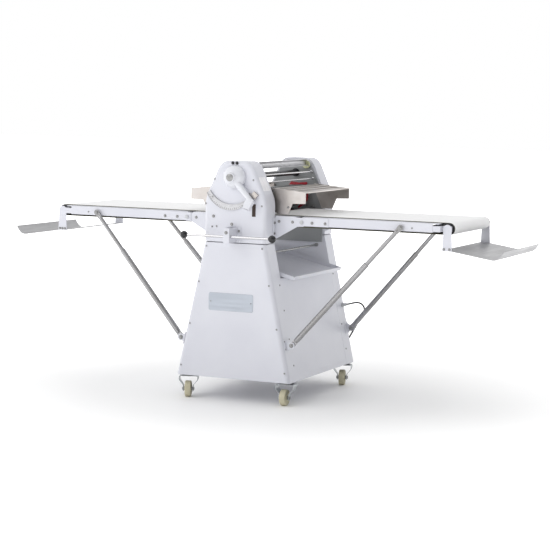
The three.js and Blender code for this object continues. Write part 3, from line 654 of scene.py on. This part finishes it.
# ---- base
def cabinet_ring(z, inset, side):
    """Plan outline of one cabinet at a height: round outer corners, square ones at the bay."""
    half = base_half(z) - inset
    y_bay, y_out = BAY + inset, DEPTH - inset
    r = BASE_CORNER_R - inset
    plan = [(half, y_bay)]
    plan += arc(half - r, y_out - r, r, 0, 90, 8)
    plan += arc(-half + r, y_out - r, r, 90, 180, 8)
    plan.append((-half, y_bay))
    return [(x, side * y, z) for x, y in plan]


def make_cabinet(name, node, side):
    part = Part()
    levels = [BASE_LOW, SEAM]
    edge_round = 1.2
    outer = [cabinet_ring(levels[0], edge_round, side), cabinet_ring(levels[0] + edge_round, 0, side)]
    outer += [cabinet_ring(levels[1] - edge_round, 0, side), cabinet_ring(levels[1], edge_round, side)]
    inner = [cabinet_ring(levels[1], SHEET, side), cabinet_ring(levels[0], SHEET, side)]
    part.loft(outer + inner, cyclic=True)
    middle = 30
    slope = math.radians(TRAY_SLOPE)
    height = TRAY_CORNER[1] + (TRAY_CORNER[0] - middle) * math.tan(slope)
    level, down = math.cos(slope), math.sin(slope)
    ledge = []
    for x, z in ((-120, -6.5), (120, -6.5), (120, -3), (-120, -3)):
        ledge.append((middle + x * level + z * down, height - x * down + z * level))
    part.plate(ledge, *side_span(side, 276, BAY + 1))
    part.done(name, "root", "white_paint", (node,))


def make_stay_brackets():
    for corner, (sx, sy) in CORNERS.items():
        px, py, pz = STAY_FOOT
        part = Part()
        outline = [(base_half(300) - 1.5, 300), (base_half(300) + 4, 300), *arc(px, pz, 16, 120, -110, 20)]
        outline.append((base_half(250) - 1.5, 250))
        part.plate(outline, *side_span(sy, 370, 374))
        foot = [(base_half(z) + off, z) for z, off in ((250, 0.2), (250, 3), (306, 3), (306, 0.2))]
        part.plate(foot, *side_span(sy, 350, 392))
        part.mirror_x(sx < 0).done(f"stay_bracket_{corner}", "root", "white_paint", (), 0.8)
        pins = Part().bar_y(sx * px, pz, 5, *side_span(sy, 359, 377), 0.8, 32)
        pins.bolt((sx * px, sy * 374, pz), (0, sy, 0), 8, 5)
        pins.bolt((sx * px, sy * 361.6, pz), (0, -sy, 0), 7.4, 2)
        for z in (260, 296):
            slope = SIDE_NORMAL.copy()
            slope.x *= sx
            pins.screw(Vector((sx * (base_half(z) + 3), sy * 385, z)), slope, 4)
        pins.done(f"stay_foot_pin_{corner}", "root", "zinc")


def make_base():
    make_cabinet("front_cover", "front_cabinet", -1)
    make_cabinet("rear_cover", "rear_cabinet", 1)
    refined("base_frame", "white_paint", 0.8)
    make_stay_brackets()
    rod = Part().bar_y(115, 685, 5, -299.5, 299.5)
    for side in (1, -1):
        rod.hexagon((115, side * 299.2, 685), (0, -side, 0), 9, 9)
    rod.done("tie_rod_finished", "root", "zinc", ("tie_rod",))
    screws = Part()
    for side in (1, -1):
        for z, inset in ((715, 18), (548, 17), (351, 16.5), (153, 15.5)):
            for sx in (1, -1):
                screws.screw((sx * (base_half(z) - inset), side * DEPTH, z), (0, side, 0), 4.2)
    for sx in (1, -1):
        way = Vector((SIDE_NORMAL.x * sx, 0, SIDE_NORMAL.z))
        for z in (545, 430, 300, 180):
            for y in (-322, 322):
                screws.screw((sx * base_half(z), y, z), way, 4.2)
    screws.done("base_screws", "root", "zinc")


# ---- head
def head_outline(inset, bottom):
    w, top = HEAD_HALF - inset, HEAD_TOP - inset
    shoulder = (104 - inset, 1047 - inset / 2)
    right = [(w, bottom), (w, 898), *quadratic((w, 898), (w, 931), (w - 15, 966), 8), shoulder]
    right += quadratic(shoulder, (82 - inset, top), (46, top), 12)
    return right + [(-x, z) for x, z in reversed(right)]


def make_housing(name, node, side):
    """A deep-drawn shell: rounded front edge, thin wall, return lip at the open side."""
    steps = 7
    rings = []
    for i in range(steps + 1):
        a = math.radians(90 * i / steps)
        rings.append((HEAD_EDGE_R * (1 - math.sin(a)), DEPTH - HEAD_EDGE_R * (1 - math.cos(a))))
    rings.append((0, BAY + 0.3))
    inner = [(13, BAY + 0.3), (13, BAY + 2), (SHEET, BAY + 2), (SHEET, DEPTH - HEAD_EDGE_R),
             (HEAD_EDGE_R, DEPTH - SHEET)]
    part = Part()
    part.loft([[(x, side * y, z) for x, z in head_outline(inset, HEAD_LOW)] for inset, y in rings + inner])
    return part.done(name, "root", "white_paint", (node,))


HEAD_SCREWS = [(-104, 1024), (91, 1025), (-147, 910), (135, 908)]
HEAD_BOLTS = [(-107, 853, 6.0), (-14, 820, 6.0), (-113, 805.5, 3.4), (-90.5, 808, 3.4)]


def make_head():
    make_housing("front_housing", "front_head_housing", -1)
    make_housing("rear_housing", "rear_head_housing", 1)
    refined("front_inner_plate", "grey_plate", 0.8)
    refined("rear_inner_plate", "grey_plate", 0.8)
    # The handle's slot is a thin dark block on the face: painted shade for its shaded opening.
    slot = Part().block(87, 105, -DEPTH - 0.7, -DEPTH + 2, 859, 916)
    slot.done("handle_slot_shade", "root", "slot_dark", (), 0.6)
    bits = Part()
    for side in (1, -1):
        for x, z in HEAD_SCREWS:
            bits.screw((x, side * DEPTH, z), (0, side, 0), 4.4)
    for x, z, r in HEAD_BOLTS:
        bits.bolt((x, -DEPTH, z), (0, -1, 0), r, r * 0.6)
    for side in (1, -1):
        for x, z in ((-60, 780), (60, 780), (-95, 870), (95, 870)):
            bits.bolt((x, side * 289.8, z), (0, -side, 0), 6, 4)
    bits.done("head_fasteners", "root", "zinc")


def make_trough():
    part = Part()
    part.strip(arc(70, 1088, 16.5, 85, 280, 32), 2, -283, 283)
    part.done("flour_trough", "root", "bright_steel", ("top_trough",), 0.3)
    discs = Part()
    for side in (1, -1):
        profile = [(0, 0), (17.5, 0), (19, 1.5), (19, 8.5), (0, 8.5)]
        centre = (56, side * 281, 1076)
        discs.turned(profile, centre, (0, side, 0), 56)
        discs.turned([(0, 0), (5, 0), (5, 3), (3.5, 4), (0, 4)], centre, (0, -side, 0), 32)
    discs.done("trough_discs", "root", "trough_nylon")
    rods = Part()
    rods.bar_y(84, 1043, 4, -290, 290, 0.8, 24).bar_y(94, 1010, 3, -290, 290, 0.6, 24)
    for x, z, r in ((84, 1043, 7), (94, 1010, 6)):
        for side in (1, -1):
            rods.hexagon((x, side * 289.9, z), (0, -side, 0), r, 5)
    rods.done("head_rods", "root", "chrome")


# ---- rollers
def roller(node, z, journal_r, ends):
    part = Part()
    profile = [(0, ends[0]), (journal_r - 1.5, ends[0]), (journal_r, ends[0] + 1.5), (journal_r, -262)]
    profile += [(ROLLER_R - 1.5, -262), (ROLLER_R, -260.5), (ROLLER_R, 260.5), (ROLLER_R - 1.5, 262)]
    profile += [(journal_r, 262), (journal_r, ends[1] - 1.5), (journal_r - 1.5, ends[1]), (0, ends[1])]
    part.turned(profile, (0, 0, z), (0, 1, 0), 96)
    part.stands_for(node, "finished", "chrome")


def sprocket_outline(cx, cz, r, teeth):
    points = []
    for i in range(teeth * 4):
        a = math.tau * i / (teeth * 4)
        reach = r - (3.2 if i % 4 in (0, 1) else 0.2)
        points.append((cx + reach * math.cos(a), cz + reach * math.sin(a)))
    return points


def make_rollers():
    roller("lower_roller", LOWER_Z, 20, (-335, 356))
    roller("upper_roller", UPPER_Z, 17, (-334, 334))
    big = Part().plate(sprocket_outline(0, LOWER_Z, SPROCKET_R["roller"], 28), CHAIN_Y - 3, CHAIN_Y + 3)
    big.done("roller_sprocket", "lower_roller", "dark_steel", (), 0.3)
    refined("roller_carriage", "grey_plate", 0.8)
    refined("scraper_right", "stainless", 0.3)
    refined("scraper_left", "stainless", 0.3)
    lever = Part()
    outline = [(60, 950), (80, 948), (77, 906), (62, 884), (30, 862), (24, 869), (50, 897), (50, 926)]
    lever.plate(outline, 263.2, 268.8)
    lever.done("red_release", "scraper_right", "red_paint", (), 0.8)
    refined("scraper_lever", "red_paint", 0.6)


# ---- handle and scale
HANDLE_ANGLE = math.radians(-49)
HANDLE_REACH = 136
GRIP_LENGTH = 46
GRIP_WAY = Vector((-0.26, -0.42, -0.87)).normalized()
HANDLE_Y = -432


def make_handle():
    shaft = Part()
    shaft.bar_y(0, SHAFT_Z, 14, HANDLE_Y, 336, 1.5, 64)
    for side in (1, -1):
        shaft.bar_y(0, SHAFT_Z, 20, *side_span(side, 283, 289.6), 1.2, 64)
        shaft.bar_y(0, SHAFT_Z + 7, 21, *side_span(side, 306, 330), 1.2, 64)
    shaft.done("thickness_shaft", "thickness_handle", "dark_steel", ("cross_shaft",))
    hub = Part()
    profile = [(0, 0), (52, 0), (53.3, 1.3), (53.3, 12), (52.2, 17), (49.5, 24), (45, 31.5), (38.5, 38.5)]
    profile += [(31, 43.5), (25.5, 45.8), (22.8, 47.6), (21.6, 50), (21, 58.8), (19.8, 60), (0, 60)]
    hub.turned(profile, (0, -406, SHAFT_Z), (0, -1, 0), 96)
    out = Vector((math.cos(HANDLE_ANGLE), 0, math.sin(HANDLE_ANGLE)))
    start = Vector((0, HANDLE_Y, SHAFT_Z)) + out * 26
    tip = HANDLE_REACH - 26
    profile = [(0, 0), (17.5, 0), (16.2, 16), (15, 34), (13.6, 66), (13, tip - 10), (13, tip + 6)]
    profile += [(9, tip + 13), (0, tip + 14)]
    hub.turned(profile, start, out, 48)
    hub.done("handle_hub", "thickness_handle", "white_enamel", ("thickness_handle",))
    make_grip(out)
    cap = [(0, 1.4), (4, 1.4), (5.2, 2.8), (11, 2.6), (15.5, 1.4), (17.4, 0), (17.4, -1), (0, -1)]
    small = Part().turned(cap, (0, -466, SHAFT_Z), (0, -1, 0), 56)
    small.done("handle_cap", "thickness_handle", "zinc")


def make_grip(out):
    """Square grip that hangs from the lever's knuckle, with a dark plug in its open end."""
    knuckle = Vector((0, HANDLE_Y, SHAFT_Z)) + out * HANDLE_REACH
    deep = (Vector((0, 1, 0)) - GRIP_WAY * GRIP_WAY.y).normalized()
    wide = deep.cross(GRIP_WAY)
    rings = []
    for reach, half_wide, half_deep in ((-8, 13, 10), (-1, 18.5, 12), (12, 18, 12), (GRIP_LENGTH, 16, 11.5),
                                        (GRIP_LENGTH, 11.5, 7.5), (GRIP_LENGTH - 12, 11, 7)):
        centre = knuckle + GRIP_WAY * reach
        rings.append([centre + wide * a * half_wide + deep * b * half_deep
                      for a, b in ((-1, -1), (1, -1), (1, 1), (-1, 1))])
    Part().loft(rings).done("handle_grip", "thickness_handle", "white_enamel", (), 1.8)
    centre = knuckle + GRIP_WAY * (GRIP_LENGTH - 11.4)
    rings = [[centre + GRIP_WAY * k + wide * a * 10.6 + deep * b * 6.6
              for a, b in ((-1, -1), (1, -1), (1, 1), (-1, 1))] for k in (0, 9)]
    Part().loft(rings).done("handle_grip_plug", "thickness_handle", "black_plastic", (), 0.8)


def make_scale():
    part = Part()
    inner, outer = (-15, 1037, 125.5), (-23.5, 1010.5, 127)
    lip = (*inner[:2], inner[2] + 3.2)
    part.plate(arc(*outer, -157, -40, 72) + arc(*inner, -40, -149, 72), -408.2, -DEPTH - 0.3)
    part.plate(arc(*lip, -149, -40, 72) + arc(*inner, -40, -149, 72), -413, -408)
    part.plate(arc(*outer, -157, -40, 72) + arc(*outer[:2], outer[2] - 2, -40, -157, 72), -410.6, -408)
    part.done("scale_band", "root", "bright_steel", ("thickness_scale",), 0.5)
    marks = Part()
    for i in range(20):
        a = math.radians(-150 + i * 4.75)
        long = 9 if i % 5 == 0 else 5.5
        way = Vector((math.cos(a), 0, math.sin(a)))
        centre = Vector((outer[0], -408.3, outer[1]))
        marks.rod(centre + way * 123.5, centre + way * (123.5 - long), 0.6, 0.1, 8)
    marks.done("scale_marks", "root", "slot_dark")
    stop = Part().block(-13.5, 13.5, -6.5, 6.5, -12.5, 12.5)
    stop.move(tilted(102, -412, 957, 37))
    stop.done("stop_block", "root", "stainless", (), 1.4)
    foot = Part().block(-22, 22, -2.3, 2.3, -8, 8)
    foot.move(tilted(88, -408, 952, 20))
    foot.done("stop_foot", "root", "stainless", (), 0.8)
    screws = Part()
    for x, z in ((-112, 943), (40, 906)):
        screws.screw((x, -408.2, z), (0, -1, 0), 4)
    screws.done("scale_screws", "root", "zinc")


# ---- reversing bar, buttons
def make_reversing():
    y, z, half, knob_r = -475.5, 767.5, 221, 17.4
    bar = Part().rod((-half, y, z), (half, y, z), 6, 0.8, 36)
    bar.done("reversing_rod", "reversing_bar", "chrome", ("reversing_bar",))
    knobs = Part()
    for side in (-1, 1):
        turns = [math.radians(a) for a in range(10, 156, 8)]
        ball = [(knob_r * math.sin(a), -knob_r * math.cos(a)) for a in turns]
        ball = [(0, -knob_r), *ball, (7.6, knob_r), (0, knob_r)]
        knobs.turned(ball, (side * half, y, z), (-side, 0, 0), 48)
    knobs.done("reversing_knobs", "reversing_bar", "black_plastic")
    refined("reversing_bracket", "white_paint", 0.6)
    bits = Part()
    bits.bolt((-0.5, -492, 787), (0, -1, 0), 6.5, 4)
    for x in (-25, 24):
        bits.bolt((x, -DEPTH - 3.3, 790), (0, -1, 0), 4.6, 3)
    bits.done("bracket_fasteners", "root", "zinc")


def make_buttons():
    bezels = Part()
    ring = [(5.35, 0), (7.4, 0), (7.4, 2.2), (6.6, 3), (5.35, 3)]
    for x in BUTTON_X:
        bezels.turned(ring, (x, -DEPTH, BUTTON_Z), (0, -1, 0), 40, ring=True)
    bezels.done("button_bezels", "root", "black_plastic", (), 0.0)
    for node, x in zip(("stop_button", "start_button"), BUTTON_X):
        cap = [(0, 0), (4.9, 0), (4.9, 7.3), (4.2, 8.4), (0, 8.5)]
        button = Part().turned(cap, (x, -402.5, BUTTON_Z), (0, -1, 0), 40)
        button.stands_for(node, "cap", "black_plastic")


# ---- guards
def make_guard(name, sx):
    part = Part()
    leg = [(108, 987), (106, 964), (122, 930), (150, 867), (206, 867), (228, 917), (292, 919), (292, 971)]
    for side in (1, -1):
        part.plate(leg, *side_span(side, 266, 269))
        part.bar_y(112, 970, 5, *side_span(side, 268, 297))
    slope = (971 - 987) / (292 - 108)
    for x in (122, 164, 206, 248):
        top = 987 + slope * (x - 108) - 1
        end = top + slope * 19
        channel = [(x, top - 9), (x + 0.2, top), (x + 19, end), (x + 19.2, end - 9)]
        part.strip(channel, -1.6, -268, 268)
    part.strip([(274, 968.6), (291, 967.2)], 3, -268, 268)
    part.mirror_x(sx < 0).stands_for(f"guard_{name}", "sheet", "stainless", 0.4)
    bolts = Part()
    for side in (1, -1):
        bolts.bolt((sx * 207, side * 269, 900), (0, side, 0), 4.5, 3)
        bolts.bolt((sx * 130, side * 269, 972), (0, side, 0), 4.5, 3)
    bolts.done(f"guard_{name}_bolts", f"guard_{name}", "zinc")


# ---- crumb tray
def make_crumb_tray():
    part = Part()
    profile = [(-384, 22), (-380.6, 3), (-378, 0.8), (-374, 0), (-4, 0), (1.5, 1), (4, 4), (12, 22)]
    part.strip(profile, 2, -287, 287)
    for side in (1, -1):
        part.plate([(-383, 0), (0, 0), (11, 20), (-383, 20)], *side_span(side, 285, 287))
    part.move(tilted(TRAY_CORNER[0], 0, TRAY_CORNER[1], TRAY_SLOPE))
    part.stands_for("crumb_tray", "pan", "white_paint", 0.5)


# ---- conveyors
def belt_path(offset):
    """Side view of the belt loop, evenly cut where it crosses the fold hinge."""
    r = BELT_R + offset
    stops = [DRIVE_X + 20 * i for i in range(1, 9)] + [HINGE_X + 6 * i for i in range(-8, 9)]
    stops = sorted(x for x in stops if x < HINGE_X + 50) + [360, 440, 560, 680, 800, 900, 950]
    top = [(x, CONVEYOR_Z + r) for x in stops]
    bottom = [(x, CONVEYOR_Z - r) for x in reversed(stops)]
    end = arc(END_X, CONVEYOR_Z, r, 90, -90, 20)
    inner = arc(DRIVE_X, CONVEYOR_Z, r, -90, -270, 20)
    return top + end + bottom + inner


def make_belt(name, sx):
    part = Part()
    back, face = belt_path(0), belt_path(BELT_THICK)
    rings = []
    for line, y in ((back, -BELT_HALF), (face, -BELT_HALF), (face, BELT_HALF), (back, BELT_HALF)):
        rings.append([(x, y, z) for x, z in line])
    part.loft(rings, cyclic=True).mirror_x(sx < 0)
    belt = part.done(f"belt_{name}_loop", None, "belt", (f"belt_{name}",), 0.0, False)
    # The back and the edges take the dark olive, painted shade for the underside; the outer face stays white.
    belt.data.materials.append(LOOKS["belt_back"])
    outside = BELT_R + BELT_THICK * 0.49
    for face_ in belt.data.polygons:
        centre = face_.center / MM
        if abs(face_.normal.y) > 0.5:
            face_.material_index = 1
            continue
        x, z = abs(centre.x), centre.z - CONVEYOR_Z
        reach = math.hypot(max(x - END_X, DRIVE_X - x, 0), z)
        face_.material_index = 0 if reach > outside else 1
    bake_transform(belt)


def belt_roller(node, x, shaft_half, look):
    part = Part()
    profile = [(0, -shaft_half), (7, -shaft_half), (8, 1 - shaft_half), (8, -258), (24, -258), (25, -257)]
    profile += [(25, 257), (24, 258), (8, 258), (8, shaft_half - 1), (7, shaft_half), (0, shaft_half)]
    part.turned(profile, (x, 0, CONVEYOR_Z), (0, 1, 0), 64)
    part.stands_for(node, "tube", look)


def make_conveyor(name, sx):
    table = f"table_{name}"
    refined(f"inner_table_{name}", "white_paint", 0.5)
    refined(f"table_frame_{name}", "white_paint", 0.7)
    make_belt(name, sx)
    belt_roller(f"end_roller_{name}", sx * END_X, 281, "chrome")
    belt_roller(f"drive_roller_{name}", sx * DRIVE_X, 298, "dark_steel")
    fixed, moving, rings = Part(), Part(), Part()
    seal = [(8.8, -1.4), (26.8, -1.4), (26.8, 1.4), (8.8, 1.4)]
    for side in (1, -1):
        for x in (178, 245):
            fixed.bolt((sx * x, side * 305, 836), (0, side, 0), 5.5, 3.4)
        for z in (829, 780):
            fixed.bolt((sx * 159, side * 314, z), (sx, 0, 0), 5, 3.4)
        for x in (343, 407):
            moving.bolt((sx * x, side * 309, 836), (0, side, 0), 5.5, 3.4)
        moving.screw((sx * 822, side * RAIL_FACE, 836), (0, side, 0), 4)
        moving.hexagon((sx * 916, side * 296, 836), (sx, 0, 0), 8, 7)
        moving.rod((sx * 922, side * 296, 836), (sx * 950, side * 296, 836), 4.2, 0.8, 20)
        rings.turned(seal, (sx * END_X, side * 260, CONVEYOR_Z), (0, 1, 0), 64, ring=True)
    fixed.done(f"inner_bolts_{name}", "root", "zinc")
    moving.done(f"rail_bolts_{name}", table, "zinc")
    rings.done(f"end_seals_{name}", table, "black_plastic")
    caps = Part()
    cap = [(0, 0), (9, 0), (9, 1.6), (7.5, 2.6), (0, 2.8)]
    for side in (1, -1):
        caps.turned(cap, (sx * HINGE_X, side * 312, CONVEYOR_Z), (0, side, 0), 36)
    caps.done(f"fold_pivot_caps_{name}", "root", "grey_nylon")


def make_catch_tray(name, sx):
    part = Part()
    lip = [(1184, 710), *quadratic((1184, 710), (1203, 707.2), (1216, 717), 5)]
    lip += [*quadratic((1216, 717), (1230, 729), (1238.6, 748), 6)]
    part.strip([(957, 742), (960, 740.6), (1005, 738), *lip], 2.4, -283.5, 283.5)
    part.mirror_x(sx < 0).stands_for(f"catch_tray_{name}", "sheet", "aluminium", 0.3)
    arms, bolts = Part(), Part()
    outline = [(957, 739), (1002, 739), (998, 825), *arc(END_X, CONVEYOR_Z, 20, -20, 200, 24), (960, 825)]
    xs = (957 + 8, 991) if sx > 0 else (965, 979, 993)
    for side in (1, -1):
        arms.plate([(sx * x, z) for x, z in outline], *side_span(side, 279, 284))
        for x in xs:
            bolts.bolt((sx * x, side * 284, 748), (0, side, 0), 5, 3)
    arms.done(f"catch_tray_{name}_arms", f"catch_tray_{name}", "white_paint", (), 1.0)
    bolts.done(f"catch_tray_{name}_bolts", f"catch_tray_{name}", "zinc")


# ---- stays
def make_stay(corner, sx, sy):
    foot = Vector((sx * STAY_FOOT.x, sy * STAY_FOOT.y, STAY_FOOT.z))
    top = Vector((sx * STAY_TOP.x, sy * STAY_TOP.y, STAY_TOP.z))
    along = (top - foot).normalized()
    across = (Vector((0, 1, 0)) - along * along.y).normalized()
    length = (top - foot).length
    basis = Matrix((across.cross(along), across, along)).transposed().to_4x4()
    local = Matrix.Translation(foot) @ basis
    tube = Part()
    profile = [(0, 20), (9, 24), (12, 34), (12.5, 46), (12.5, STAY_STEP - 2), (11, STAY_STEP)]
    profile += [(10.3, STAY_STEP - 1), (10.3, 150), (0, 148)]
    tube.turned(profile, (0, 0, 0), (0, 0, 1), 48)
    eye_plate(tube, 0, 1, 11)
    tube.move(local).stands_for(f"stay_tube_{corner}", "finished", "stay_steel")
    rod = Part()
    profile = [(0, 165), (8.6, 165), (9.6, 166), (9.6, length - 40), (8.4, length - 26)]
    profile += [(5, length - 17), (0, length - 16)]
    rod.turned(profile, (0, 0, 0), (0, 0, 1), 48)
    eye_plate(rod, length, -1, 9)
    rod.move(local).stands_for(f"stay_rod_{corner}", "finished", "stay_steel")
    bolt = Part().bolt((0, sy * 3.1, length), (0, sy, 0), 8, 4.5)
    bolt.bolt((0, -sy * 3.1, length), (0, -sy, 0), 7, 2.4)
    bolt.move(local).done(f"stay_bolt_{corner}", f"stay_rod_{corner}", "zinc")


def eye_plate(part, at, way, half):
    """A flattened end with a round eye."""
    angles = [math.radians(a) for a in range(-90, 91, 10)]
    ring = [(13 * math.sin(a), at - way * 13 * math.cos(a)) for a in angles]
    part.plate([*ring, (half, at + way * 34), (-half, at + way * 34)], -3, 3)


# ---- casters
def fork_rings():
    """An arch of sheet, seen along the wheel's way, that narrows from the crown to the axle."""
    low, high, thick = 24, 45, 2.6
    outer = [(low, 26), (low, 48), (low + 1, 54), *arc(high - 26, 86, 26, -28, 0, 4), (high, 91),
             *arc(high - 7, 91, 7, 0, 90, 6)]
    inner = [(low - thick, 26), (low - thick, 48), (low - thick + 1, 54.6)]
    inner += [*arc(high - 26, 86, 26 - thick, -28, 0, 4), (high - thick, 91)]
    inner += arc(high - 7, 91, 7 - thick, 0, 90, 6)
    return outer, inner


def fork_edge(x, z):
    """The cheeks lean back to the axle: both edges run from the crown down to a narrow foot."""
    down = min(max((98 - z) / 68, 0), 1)
    foot = -TRAIL + (11 if x > 0 else -13)
    return x + (foot - x) * down


def make_caster(corner, sx, sy):
    turn = math.radians(CASTER_YAW[corner])
    local = Matrix.Translation((sx * CASTER[0], sy * CASTER[1], 0)) @ Matrix.Rotation(turn, 4, "Z")
    outer, inner = fork_rings()
    fork = Part()
    rings = []
    for x in (-28, 24):
        whole = outer + [(-y, z) for y, z in outer[::-1]] + [(-y, z) for y, z in inner] + inner[::-1]
        rings.append([(fork_edge(x, z), y, z) for y, z in whole])
    fork.loft(rings)
    fork.move(local).stands_for(f"caster_fork_{corner}", "pressing", "galvanised", 0.7)
    race = Part()
    profile = [(0, 97.6), (30, 97.6), (32, 98.6), (33, 100.4), (31, 102.4), (26, 103.6), (0, 103.6)]
    race.turned(profile, (0, 0, 0), (0, 0, 1), 56)
    race.rod((-TRAIL, -28.6, WHEEL_R), (-TRAIL, 28.6, WHEEL_R), 4.8, 0.6, 24)
    bush = [(5.4, 14.4), (9, 14.4), (9, 20.8), (5.4, 20.8)]
    for side in (1, -1):
        race.hexagon((-TRAIL, side * 24, WHEEL_R), (0, side, 0), 8, 4)
        race.turned(bush, (-TRAIL, 0, WHEEL_R), (0, side, 0), 32, ring=True)
    race.move(local).done(f"caster_race_{corner}", f"caster_fork_{corner}", "zinc")
    wheel = Part()
    w = 14
    profile = [(5.4, -w), (13, -w), (14, -w + 3.5), (29, -w + 3.5), (31, -w), (34.6, -w)]
    profile += [(36.8, -w + 1.6), (WHEEL_R, -w + 4)]
    profile += [(r, -h) for r, h in reversed(profile)]
    wheel.turned(profile, (-TRAIL, 0, WHEEL_R), (0, 1, 0), 64, ring=True)
    wheel.move(local).stands_for(f"caster_wheel_{corner}", "tread", "wheel_nylon")


# ---- drive
def make_drive():
    mx, mz = MOTOR
    motor = Part()
    profile = [(0, -120), (54, -120), (60, -114)]
    for k in range(17):
        y = -104 + 11 * k
        profile += [(60, y), (67.8, y + 0.6), (67.8, y + 4), (60, y + 4.6)]
    profile += [(60, 84), (66, 90), (66, 112), (40, 120), (0, 120)]
    motor.turned(profile, (mx, 0, mz), (0, 1, 0), 64)
    motor.block(mx - 75, mx + 75, -90, 90, 113.4, 126)
    motor.block(mx - 52, mx + 52, -78, 78, 124, 140)
    motor.done("motor_body", "root", "motor_grey", ("drive_motor",), 0.8)
    box = Part().block(mx - 45, mx + 45, -60, 60, 250, 285)
    box.done("motor_terminal_box", "root", "motor_grey", (), 2.0)
    shaft = Part().bar_y(mx, mz, 12, 120.4, 356, 1.2, 48)
    shaft.plate(sprocket_outline(mx, mz, SPROCKET_R["motor"], 14), CHAIN_Y - 3, CHAIN_Y + 3)
    shaft.stands_for("motor_sprocket", "finished", "dark_steel")
    make_chain()


def make_chain():
    """Roller chain round both sprockets: one side plate pair and one roller to each pitch."""
    (x1, z1), (x2, z2) = MOTOR, (0, LOWER_Z)
    r1, r2 = SPROCKET_R["motor"] + 3.4, SPROCKET_R["roller"] + 3.4
    heading = math.atan2(z2 - z1, x2 - x1)
    spread = math.acos((r1 - r2) / math.hypot(x2 - x1, z2 - z1))
    deg = math.degrees
    loop = arc(x2, z2, r2, deg(heading - spread), deg(heading + spread), 40)
    loop += arc(x1, z1, r1, deg(heading + spread), deg(heading - spread) + 360, 24)
    loop.append(loop[0])
    lengths = [math.dist(a, b) for a, b in zip(loop, loop[1:])]
    pitch = sum(lengths) / round(sum(lengths) / 12.7)
    part, travelled, spots, wanted = Part(), 0.0, [], 0.0
    for (a, b), length in zip(zip(loop, loop[1:]), lengths):
        while wanted < travelled + length - 1e-6:
            t = (wanted - travelled) / length
            spots.append((a[0] + (b[0] - a[0]) * t, a[1] + (b[1] - a[1]) * t))
            wanted += pitch
        travelled += length
    for i, (a, b) in enumerate(zip(spots, spots[1:] + spots[:1])):
        part.bar_y(*a, 2.6, CHAIN_Y - 2.4, CHAIN_Y + 2.4, 0.2, 8)
        way = math.degrees(math.atan2(b[1] - a[1], b[0] - a[0]))
        link = arc(*b, 2.9, way - 90, way + 90, 4) + arc(*a, 2.9, way + 90, way + 270, 4)
        shift = 0.0 if i % 2 else 0.7
        for side in (1, -1):
            near, far = side_span(side, 2.4 + shift, 3.0 + shift)
            part.plate(link, CHAIN_Y + near, CHAIN_Y + far)
    part.done("roller_chain", "root", "dark_steel", ("drive_chain",), 0.0, False)


# ---- plain plate and label
def rounded_rectangle(cx, cz, half_w, half_h, r):
    points = []
    for sx, sz, start in ((1, 1, 0), (-1, 1, 90), (-1, -1, 180), (1, -1, 270)):
        points += arc(cx + sx * (half_w - r), cz + sz * (half_h - r), r, start, start + 90, 6)
    return points


def make_plates():
    """A blank plate on the base and a blank label on the head's bevel, without lettering."""
    cz = 461
    plate = Part().plate(rounded_rectangle(-12, cz, 112, 41, 8), -DEPTH - 1.4, -DEPTH - 0.1)
    plate.done("blank_plate", "root", "plain_plate", (), 0.4)
    studs = Part()
    for x in (-114, 90):
        studs.screw((x, -DEPTH - 1.4, cz), (0, -1, 0), 3.2)
    studs.done("blank_plate_studs", "root", "zinc")
    a, b = Vector((140, 0, 966)), Vector((104, 0, 1047))
    along = (b - a).normalized()
    normal = Vector((along.z, 0, -along.x))
    middle = (a + b) / 2
    rings = []
    for lift in (0.15, 0.7):
        outline = rounded_rectangle(0, 0, 36, 34, 4)
        rings.append([middle + normal * lift + along * v + Vector((0, -353 + u, 0)) for u, v in outline])
    Part().loft(rings).done("blank_label", "root", "plain_label", (), 0.0)


# ---- build
make_base()
make_head()
make_trough()
make_rollers()
make_handle()
make_scale()
make_reversing()
make_buttons()
make_crumb_tray()
make_drive()
make_plates()
for end_name, end_sign in ENDS.items():
    make_guard(end_name, end_sign)
    make_conveyor(end_name, end_sign)
    make_catch_tray(end_name, end_sign)
for corner_name, (corner_x, corner_y) in CORNERS.items():
    make_stay(corner_name, corner_x, corner_y)
    make_caster(corner_name, corner_x, corner_y)
